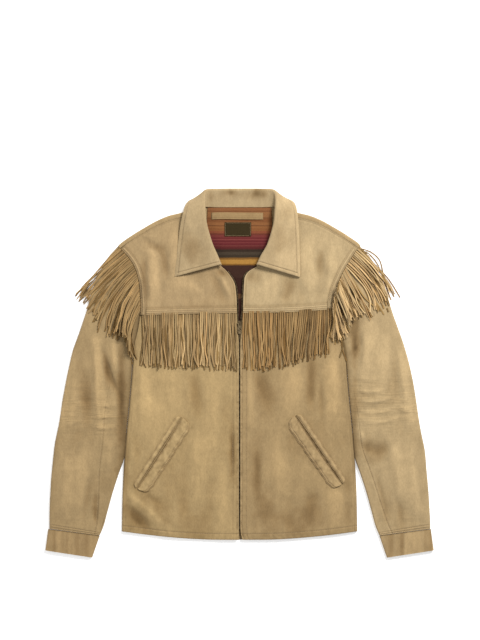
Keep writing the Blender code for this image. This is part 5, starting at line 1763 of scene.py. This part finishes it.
def make_slider():
    """Slider body with its flanges and the bridge, joined into one piece."""
    bottom, top = ZIP_TOP + 1.5, ZIP_TOP + 14.0
    plates = [
        bevelled_prism("zip_slider", [(-2.2, bottom), (2.2, bottom), (3.1, top - 5), (3.0, top),
                       (-3.0, top), (-3.1, top - 5)], 7.1, 8.5, "z", 0.35),
        bevelled_prism("slider_lower", [(-2.2, bottom), (2.2, bottom), (3.0, top), (-3.0, top)],
                       4.95, 5.8, "z", 0.25),
        bevelled_prism("slider_core", [(-1.1, bottom + 5), (1.1, bottom + 5), (1.6, top - 0.6),
                       (-1.6, top - 0.6)], 5.7, 7.2, "z", 0.15),
    ]
    low, high = HINGE_Y - 3.4, HINGE_Y + 4.0
    arch = [(low, 8.3), (low, 11.6), (low + 1.4, 13.1), (high - 1.4, 13.1), (high, 11.6),
            (high, 8.3), (high - 1.4, 8.3), (high - 1.4, 11.3), (high - 2.0, 12.0),
            (low + 2.0, 12.0), (low + 1.4, 11.3), (low + 1.4, 8.3)]
    plates.append(bevelled_prism("slider_bridge", arch, -1.25, 1.25, "x", 0.2))
    with bpy.context.temp_override(active_object=plates[0], selected_editable_objects=plates):
        bpy.ops.object.join()
    carry(plates[0], "zip_slider")


def make_pull_tab():
    """Pull tab with its eye round the bridge and a pressed oval near its end."""
    half = TAB_WIDTH / 2
    slope = (HINGE_Z - 0.9 - 8.2) / TAB_LENGTH
    near, eye, far = HINGE_Y + 0.6, HINGE_Y - 5.6, HINGE_Y - TAB_LENGTH
    across = np.linspace(-1, 1, 13)
    rows = np.concatenate([np.linspace(near, eye, 7), np.linspace(eye - 0.8, far, 22)])
    round_end = np.sqrt(np.clip(1 - ((far + 3 - rows) / 3.2) ** 2, 0.08, 1))
    outline_half = np.where(rows > far + 3, half, half * round_end)
    waist = 1 - 0.16 * bell(rows - (eye - 2), 3.0)
    x = across[None] * (outline_half * waist)[:, None]
    y = np.repeat(rows[:, None], len(across), 1)
    middle = HINGE_Z - slope * np.maximum(HINGE_Y - y, 0)
    oval = np.exp(-(((y - (far + 7)) / 4.5) ** 4 + (x / 1.7) ** 4))
    rim = (np.abs(across) > 0.95)[None]
    top = middle + TAB_THICK / 2 - 0.35 * oval - 0.25 * rim
    bottom = middle - TAB_THICK / 2 + 0.2 * rim
    points = np.concatenate([np.dstack([x, y, z]).reshape(-1, 3) for z in (top, bottom)])
    count_r, count_c = x.shape
    keep = np.zeros((count_r + 1, count_c + 1), bool)
    keep[1:-1, 1:-1] = True
    keep[2:7, 4:10] = False
    back = count_r * count_c
    quads = []
    for r, c in np.argwhere(keep) - 1:
        a = r * count_c + c
        b, d, e = a + 1, a + count_c, a + count_c + 1
        quads += [(a, b, e, d), (a + back, d + back, e + back, b + back)]
        for dr, dc, p, q in ((-1, 0, b, a), (1, 0, d, e), (0, -1, a, d), (0, 1, e, b)):
            if not keep[r + 1 + dr, c + 1 + dc]:
                quads.append((p, q, q + back, p + back))
    used, faces = np.unique(outward(points, np.array(quads))[0], return_inverse=True)
    tab = new_piece("zip_pull_tab", points[used], [faces.reshape(-1, 4)], BRASS, None, 35)
    carry(tab, "zip_pull_tab", "pull_tab")


# ---------------------------------------------------------------- stage

def make_stage():
    """White surface just under the jacket."""
    mesh = bpy.data.meshes.new("floor")
    corners = [(-1, -1, 0), (1, -1, 0), (1, 1, 0), (-1, 1, 0)]
    mesh.from_pydata([tuple(FLOOR_HALF * c for c in corner) for corner in corners], [],
                     [(0, 1, 2, 3)])
    floor = bpy.data.objects.new("floor", mesh)
    floor.location.z = -0.0004
    bpy.context.scene.collection.objects.link(floor)
    mesh.materials.append(new_material(
        "white_floor", Base_Color=(0.80, 0.80, 0.80), Emission_Color=(1.0, 1.0, 1.0),
        Emission_Strength=0.45, Roughness=1.0, Specular_IOR_Level=0.0)[0])


def area_light(name, place, size, power):
    """A square soft light aimed at the jacket's centre."""
    data = bpy.data.lights.new(name, "AREA")
    data.shape = "RECTANGLE"
    data.size = data.size_y = size
    data.energy = power
    lamp = bpy.data.objects.new(name, data)
    lamp.location = place
    lamp.rotation_euler = (-Vector(place)).to_track_quat("-Z", "Y").to_euler()
    bpy.context.scene.collection.objects.link(lamp)


def make_lights_and_camera():
    """Soft studio light, and a camera straight above the jacket."""
    scene = bpy.context.scene
    scene.world = bpy.data.worlds.new("studio")
    scene.world.use_nodes = True
    background = scene.world.node_tree.nodes["Background"]
    background.inputs["Color"].default_value = (1, 1, 1, 1)
    background.inputs["Strength"].default_value = 0.36
    area_light("key", (1.5, 2.1, 2.2), 1.0, 148)
    area_light("fill", (-2.2, 0.2, 1.9), 1.6, 24)
    data = bpy.data.cameras.new("camera")
    data.lens = 100
    data.sensor_fit = "VERTICAL"
    data.sensor_width = data.sensor_height = 36
    camera = bpy.data.objects.new("camera", data)
    camera.location = (0.0010, 0.1113, 3.697)
    scene.collection.objects.link(camera)
    scene.camera = camera
    scene.view_settings.view_transform = "Standard"
    scene.view_settings.look = "None"


# ---------------------------------------------------------------- build

def main():
    """Makes all the pieces; the fringes come after what they lie on."""
    make_stage()
    make_lights_and_camera()
    make_back()
    make_lining()
    make_neck_trim()
    fronts, sleeves = {}, {}
    for side in "lr":
        fronts[side] = make_front(side)
        make_yoke(side)
        make_bands(side)
        sleeves[side] = make_sleeve(side)
        make_cuff(side)
    for side in "lr":
        make_pocket(side)
    make_collar()
    for side in "lr":
        front = fronts[side] * FLIP[side]
        make_front_fringe(side, front)
        make_shoulder_fringe(side, [front] + [grid * FLIP[side] for grid in sleeves[side]])
    make_zip()
    make_pull_tab()
    for side in "lr":
        stitch_rows(f"stitches_{side}", [p for p in STITCH_PATHS[side] if len(p) > 1])
    declare_sheets()


main()
